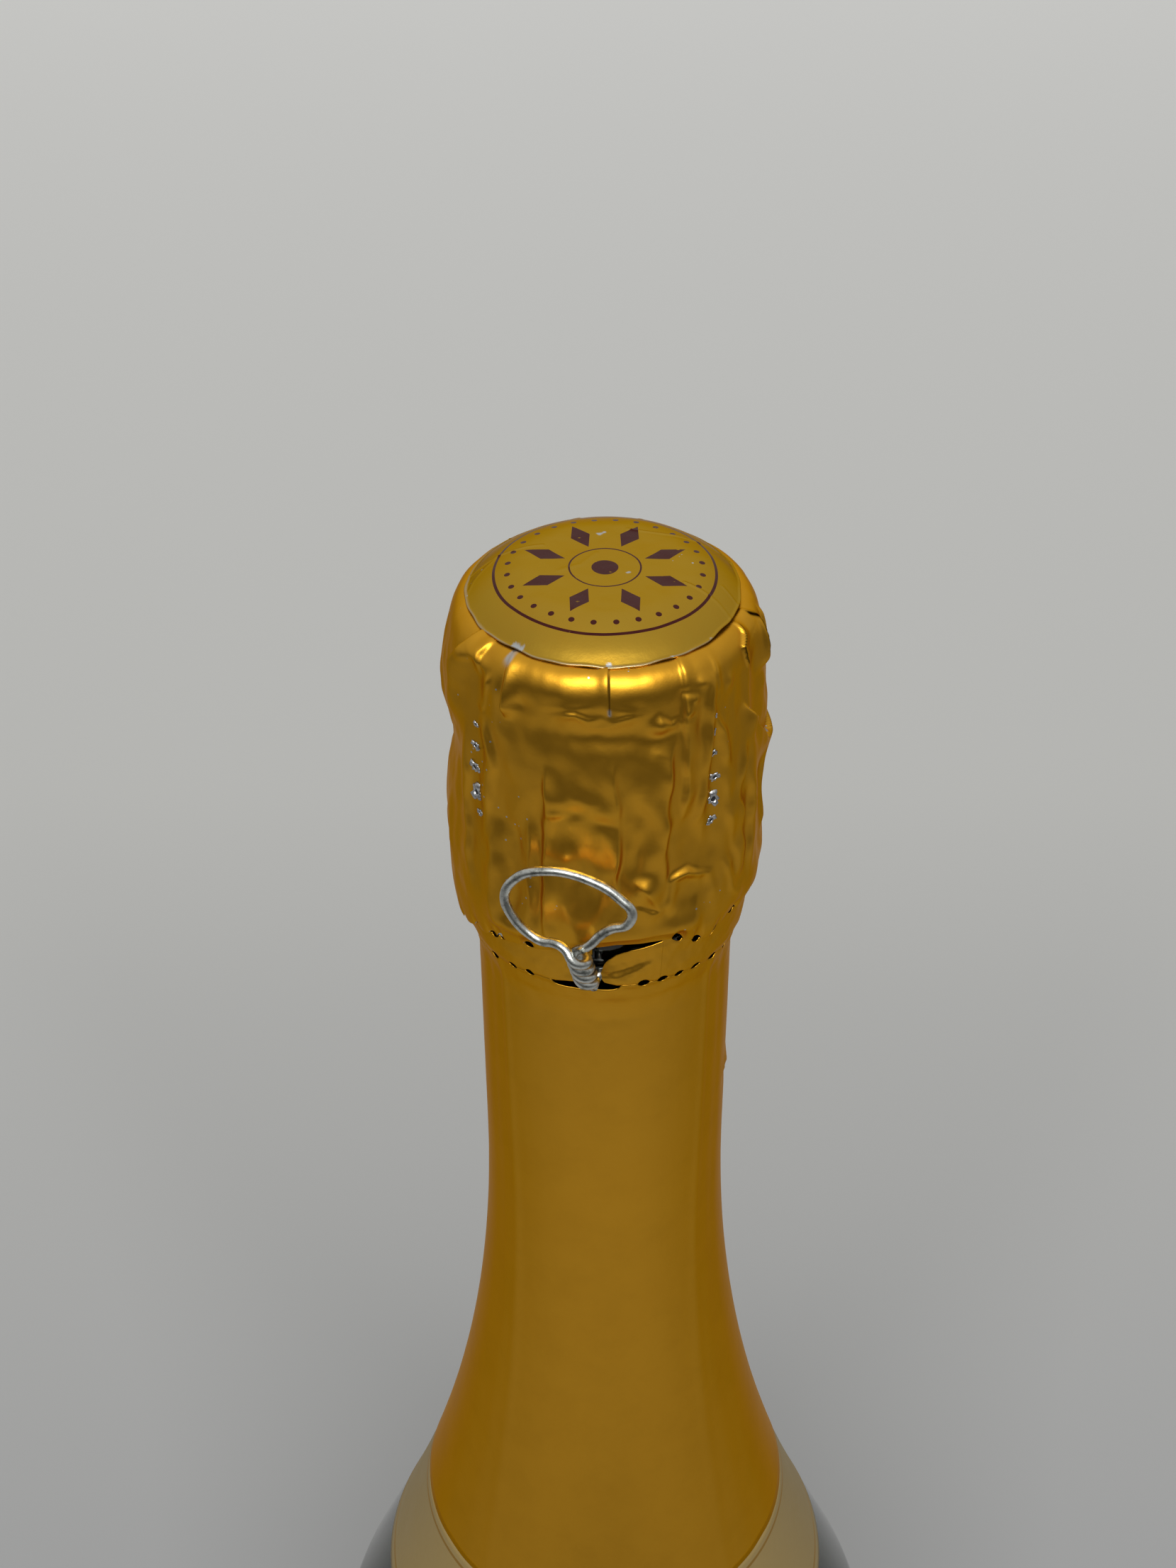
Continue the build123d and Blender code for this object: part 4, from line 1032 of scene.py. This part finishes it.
def stripPiece():
    columns = azimuthColumns(strip["frontStep"], strip["backStep"], strip["half"])
    azimuth, share = np.meshgrid(columns, np.linspace(0, 1, strip["rows"]))
    top = hemHeight(azimuth) - scallops(azimuth, "upper") - perforations["hairline"]
    height = top + (footEdge(azimuth, 1) - top) * share
    # points near the cut-away's edge move onto it
    depth = windowDepth(azimuth, height)
    step = 0.02
    gradA = (windowDepth(azimuth + step, height) - depth) / (math.radians(step) * strip["radius"])
    gradZ = (windowDepth(azimuth, height + step) - depth) / step
    size = np.clip(gradA ** 2 + gradZ ** 2, 0.2, None)
    near = abs(depth) < strip["snap"]
    azimuth = np.where(near, azimuth - np.degrees(depth * gradA / size / strip["radius"]), azimuth)
    height = np.where(near, height - depth * gradZ / size, height)
    points = onRound(azimuth, stripRadius(azimuth, height), height)
    return gridPiece("tearStrip", points, goldFoil, wrap=True, keep=depth < strip["snap"])


tearStrip = stripPiece()
thicken(tearStrip, strip["thickness"])
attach(tearStrip, "bottle")
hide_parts("tear_strip")


def tabPoints():
    # the free end of the strip, a tongue that widens to the right, with a folded upper facet
    columns = np.linspace(tab["free"], tab["root"] + tab["overlap"], tab["columns"])
    azimuth, share = np.meshgrid(columns, np.linspace(0, 1, tab["rows"]))
    top, low = lookUp(tab["edge"], azimuth), footEdge(azimuth, 1)
    ends = smooth(tab["free"] - 0.3, tab["free"] + 1.6, azimuth) ** 0.5
    middle = 0.45 * top + 0.55 * low
    top, low = middle + (top - middle) * ends, middle + (low - middle) * ends
    height = top + (low - top) * share
    crease = tab["creaseHeight"] + tab["creaseRise"] * smooth(tab["free"], tab["root"] + 6, azimuth)
    facet = tab["facet"] * smooth(-0.5, 0.5, height - crease) * (1 - smooth(10, 22, azimuth))
    tip = tab["tipInward"] * (1 - smooth(tab["free"], tab["free"] + 6, azimuth))
    return onRound(azimuth, stripRadius(azimuth, height) + tab["proud"] - facet - tip, height)


tearTab = gridPiece("tearTab", tabPoints(), goldFoil)
thicken(tearTab, tab["thickness"])
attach(tearTab, "tab")
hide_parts("tear_tab")
print("stage: strip and tab")

bottle = {
    "height": 302.0, "body": 44.5, "neck": 15.45, "wall": 3.1, "base": 5.0, "slope": 22.0,
    "cornerDrop": 118.0, "neckRound": 262.0, "bodyRound": 40.0, "heel": 8.5, "foot": (35.5, 30.5),
    "punt": 24.0, "puntCrown": 12.0, "neckStart": (14.9, 269.5), "neckFull": 264.5, "fill": 226.0,
    "segments": 180,
    # lip, groove and ring, as radius and height, with the rounds of the corners between
    "finish": [(8.75, 302), (14.3, 302), (14.3, 295.5), (13.4, 295.5), (13.4, 286), (16.4, 286), (16.4, 278),
               (14.9, 278), (14.9, 269.5)],
    "finishRounds": [2.0, 0.35, 0.35, 1.0, 1.0, 1.0, 0.3],
    "bore": 8.75, "boreEnd": 270, "boreFull": 246, "cavityRounds": (24.0, 24.0, 6.0, 4.0, 6.0),
}
slope, halfSlope = math.tan(math.radians(bottle["slope"])), math.tan(math.radians(bottle["slope"] / 2))
cornerZ = bottle["height"] - bottle["cornerDrop"]
bodyZ = cornerZ - (bottle["body"] - bottle["neck"]) / slope


def shoulderCorners(thickness):
    drop = thickness * halfSlope
    return (bottle["neck"] + thickness, cornerZ + drop), (bottle["body"] + thickness, bodyZ + drop)


def skinRadius(height, thickness):
    # radius of a skin on the glass, between the neck's top and the body
    upper, lower = shoulderCorners(thickness)
    line = filletLine([(upper[0], 275.0), upper, lower, (lower[0], 60.0)],
                      [bottle["neckRound"] - thickness, bottle["bodyRound"] + thickness])[::-1]
    return np.interp(height, line[:, 1], line[:, 0])


neckWrap = {
    "bottom": 158.2, "clearance": 0.30, "thickness": 0.12, "rows": 128, "topRows": 40, "topShare": 0.09,
    "frontStep": 0.8, "backStep": 1.7, "half": 95, "swell": 0.07, "looseCrumple": 0.10, "fineCrumple": 0.012,
    # soft vertical creases as azimuth at the top, at the bottom, width and height
    "creases": [(-51.0, -41.0, 0.55, 0.16), (52.0, 42.0, 0.55, 0.16), (-64.0, -58.0, 0.9, -0.10),
                (66.0, 60.0, 0.8, -0.10), (120.0, 118.0, 0.6, 0.16), (-122.0, -118.0, 0.6, 0.16),
                (172.0, 174.0, 0.4, 0.20), (-20.0, -12.0, 1.6, 0.04), (14.0, 20.0, 1.8, 0.04)],
    # cross folds at one place as height, half height and lift
    "crossAzimuth": 86, "crossHalf": 2.2, "crossFolds": [(244.5, 1.2, -0.30), (246.5, 0.9, 0.35)],
}


def neckRadius(azimuth, height):
    radius = skinRadius(height, neckWrap["clearance"])
    radius = np.maximum(radius, lookUp([(266.0, 15.7), (268.5, 15.82), (271.0, 16.1)], height))
    flare = smooth(269.6, 273.2, height)
    radius = radius + (stripRadius(azimuth, np.maximum(height, 272.6)) - 0.04 - radius) * flare
    turned = turnedFrom(azimuth)
    down = np.clip((272 - height) / 114, 0, 1)
    for top, low, wide, lift in neckWrap["creases"]:
        gap = arcGap(turned, top + (low - top) * down ** 1.2, radius)
        radius = radius + lift * np.exp(-(gap / (wide * (1 + 1.6 * down))) ** 2)
    gap = np.radians(turned - neckWrap["crossAzimuth"]) * 15.7
    for middle, half, lift in neckWrap["crossFolds"]:
        radius = radius + lift * np.exp(-(gap / neckWrap["crossHalf"]) ** 2 - ((height - middle) / half) ** 2)
    wrinkles = partial(wrinkleNoise, azimuth, height)
    radius = radius + neckWrap["swell"] * wrinkles(5.0, 40.0, 41.0)
    radius = radius + neckWrap["looseCrumple"] * smooth(262, 272, height) * wrinkles(2.0, 2.2, 45.0)
    return radius + neckWrap["fineCrumple"] * wrinkles(1.2, 3.0, 49.0)


# rows lie closer together near the torn upper edge
topShares = np.linspace(0, neckWrap["topShare"], neckWrap["topRows"])[:-1]
lowShares = np.linspace(neckWrap["topShare"], 1, neckWrap["rows"] - neckWrap["topRows"] + 1)
azimuth, share = np.meshgrid(azimuthColumns(neckWrap["frontStep"], neckWrap["backStep"], neckWrap["half"]),
                             np.concatenate([topShares, lowShares]))
top = footEdge(azimuth, -1)
height = top + (neckWrap["bottom"] - top) * share
neckFoil = gridPiece("neckFoil", onRound(azimuth, neckRadius(azimuth, height), height), goldNeck, wrap=True)
thicken(neckFoil, neckWrap["thickness"])
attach(neckFoil, "bottle")
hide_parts("neck_foil")

collarBand = {"top": 158.15, "bottom": 137.25, "rows": 24, "step": 2.0, "clearance": 0.22, "thickness": 0.14}
azimuth, height = np.meshgrid(np.arange(0, 360, collarBand["step"]),
                              np.linspace(collarBand["top"], collarBand["bottom"], collarBand["rows"]))
collarGrid = onRound(azimuth, skinRadius(height, collarBand["clearance"]), height)
collar = gridPiece("collarBand", collarGrid, collarPaper, wrap=True)
thicken(collar, collarBand["thickness"])
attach(collar, "bottle")
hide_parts("collar_label")
print("stage: neck foil and collar")

# glass, wine and labels
corners = shoulderCorners(0)
outside = filletLine(
    [bottle["neckStart"], (bottle["neck"], bottle["neckFull"]), *corners, (bottle["body"], 0),
     (bottle["foot"][0], 0)],
    [5.0, bottle["neckRound"], bottle["bodyRound"], bottle["heel"]])
punt = filletLine([(bottle["foot"][1], 0), (bottle["puntCrown"], bottle["punt"]), (0, bottle["punt"])], [6.0])
finish = filletLine(bottle["finish"], bottle["finishRounds"], step=0.3)
corners = shoulderCorners(-bottle["wall"])
rounds = bottle["cavityRounds"]
puntTop = bottle["punt"] + bottle["base"]
cavity = filletLine(
    [(bottle["bore"], bottle["height"]), (bottle["bore"], bottle["boreEnd"]),
     (corners[0][0], bottle["boreFull"]), *corners, (bottle["body"] - bottle["wall"], bottle["base"]),
     (bottle["foot"][1], bottle["base"]), (bottle["puntCrown"], puntTop), (0, puntTop)],
    [*rounds[:2], bottle["neckRound"] + bottle["wall"], bottle["bodyRound"] - bottle["wall"], *rounds[2:]])
glass = lathePiece("glassBody", np.concatenate([cavity[::-1], finish[1:], outside[1:], punt]), glassFinish,
                   bottle["segments"])
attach(glass, "bottle")
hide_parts("glass_bottle")
# the wine reaches a little into the glass, so no gap shows between them
fill = bottle["fill"]
wineTop = np.interp(fill, cavity[::-1][:, 1], cavity[::-1][:, 0]) + 0.12
wineSkin = [(0, fill), (wineTop, fill)] + [(r + 0.12, z - 0.1) for r, z in cavity if z < fill]
wineSkin[-1] = (0, wineSkin[-1][1])
wine = lathePiece("wineFill", wineSkin, wineFinish, 120)
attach(wine, "bottle")
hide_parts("wine")

nodes = frame["nodes"]
wireNodes = ("eyelet_loop", "eyelet_root", "belt_wire", "cage_ring_wire",
             "cage_leg_1", "cage_leg_2", "cage_leg_3", "cage_leg_4")
finishes = {"front_label": labelPaper, "back_label": labelPaper, "cage_cap": capLacquer,
            "cork_body": corkFinish, "cork_disc_lower": naturalCork, "cork_disc_upper": naturalCork,
            **dict.fromkeys(wireNodes, wireFinish)}
for name, material in finishes.items():
    nodes[name].data.materials.clear()
    nodes[name].data.materials.append(material)
for name in (*wireNodes, "cork_body"):
    # smooth copy of the CAD piece, merged first
    made = addObject(name.replace("_", " ").title().replace(" ", "") + "Smooth", nodes[name].data.copy())
    tidyMesh(made, recalc=False)
    made.data.polygons.foreach_set("use_smooth", [True] * len(made.data.polygons))
    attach(made, nodes[name]["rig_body"])
    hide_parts(name)
print("stage: glass, wire and cork")

# floor, light and camera
room = {
    "near": 0.385, "middle": 0.585, "far": 0.93, "half": 3.0, "nearDepth": 0.08, "fade": 1.2,
    "edge": 0.31, "edgeSoft": 0.24, "aside": 0.08, "asideDepth": 0.45, "mirrored": (0.03, 0.03, 0.028, 1),
    "wall": (0.68, 0.68, 0.67, 1), "side": (0.20, 0.20, 0.20, 1), "sideShare": 0.40,
    "front": (0.05, 0.05, 0.045, 1), "strength": 0.9,
}
floorMaterial, tree, shader, coordinates = newMaterial("floorPaper", Roughness=0.9, Specular_IOR_Level=0.1)
calc = partial(maths, tree)
across, depth = place(tree, "ShaderNodeSeparateXYZ", {0: coordinates}).outputs[:2]
away = calc("DIVIDE", calc("SUBTRACT", depth, room["nearDepth"]), room["fade"], clamp=True)
# painted shade: the floor's colour is darker at and before the bottle and paler further back
shade = addRamp(tree, away, (0.0, (room["near"], room["near"] * 1.005, room["near"] * 1.005, 1)),
                (0.25, (room["middle"], room["middle"], room["middle"] * 0.97, 1)),
                (1.0, (room["far"], room["far"], room["far"] * 0.98, 1)))
# reflections see the table before and beside the bottle as dark
glossy = tree.nodes.new("ShaderNodeLightPath").outputs["Is Glossy Ray"]
beyond = calc("MULTIPLY", calc("SUBTRACT", -room["edge"], depth), 1 / room["edgeSoft"], clamp=True)
aside = calc("MULTIPLY", calc("SUBTRACT", calc("ABSOLUTE", across), room["aside"]), 2.0, clamp=True)
beyond = calc("MAXIMUM", beyond, calc("MULTIPLY", aside, room["asideDepth"]))
colour = mixColour(tree, calc("MULTIPLY", beyond, glossy), shade, room["mirrored"])
tree.links.new(colour, shader.inputs["Base Color"])
half = room["half"] / mm
floorCorners = [(-half, -half, 0), (half, -half, 0), (half, half, 0), (-half, half, 0)]
floor = newPiece("floor", floorCorners, [(0, 1, 2, 3)], floorMaterial, smoothFaces=False)

scene = bpy.context.scene
world = bpy.data.worlds.new("softRoom")
scene.world = world
world.use_nodes = True
tree = world.node_tree
calc = partial(maths, tree)
background = tree.nodes["Background"]
direction = tree.nodes.new("ShaderNodeTexCoord").outputs["Generated"]
direction = place(tree, "ShaderNodeSeparateXYZ", {0: direction}).outputs
# dark low down on the viewer's side of the room, pale above and behind, darker to the sides
low = calc("SUBTRACT", 1.0, calc("MULTIPLY", calc("ABSOLUTE", direction[2]), 1.5), clamp=True)
front = calc("ADD", calc("MULTIPLY", direction[1], -1.6), 0.3, clamp=True)
front = calc("MULTIPLY", front, low, clamp=True)
aside = calc("MULTIPLY", calc("ABSOLUTE", direction[0]), room["sideShare"])
walls = mixColour(tree, aside, room["wall"], room["side"])
tree.links.new(mixColour(tree, front, walls, room["front"]), background.inputs["Color"])
background.inputs["Strength"].default_value = room["strength"]

softbox = {"place": (0.0, -0.97, 1.30), "aim": (0, 0, 0.30), "width": 1.2, "depth": 0.26, "power": 15.0}
lamp = bpy.data.lights.new("frontSoftbox", "AREA")
lamp.shape = "RECTANGLE"
lamp.size, lamp.size_y, lamp.energy = softbox["width"], softbox["depth"], softbox["power"]
lampObject = addObject("frontSoftbox", lamp)
lampObject.location = softbox["place"]
towards = Vector(softbox["aim"]) - Vector(softbox["place"])
lampObject.rotation_euler = towards.to_track_quat("-Z", "Y").to_euler()

# the picture is 2212 pixels high
view = {"focalPixels": 3069.0, "pictureHeight": 2212, "sensor": 36.0, "shift": -0.0108, "clipStart": 0.01,
        "place": (0.0, -0.2069, 0.44735), "down": 37.14}
cameraData = bpy.data.cameras.new("camera")
cameraData.sensor_fit = "AUTO"
cameraData.sensor_width = view["sensor"]
cameraData.lens = view["focalPixels"] / view["pictureHeight"] * view["sensor"]
cameraData.shift_x = view["shift"]
cameraData.clip_start = view["clipStart"]
camera = addObject("camera", cameraData)
camera.location = view["place"]
camera.rotation_euler = (math.radians(90 - view["down"]), 0, 0)
scene.camera = camera
scene.view_settings.view_transform = "Standard"
bpy.context.view_layer.update()


print("stage: scene ready")
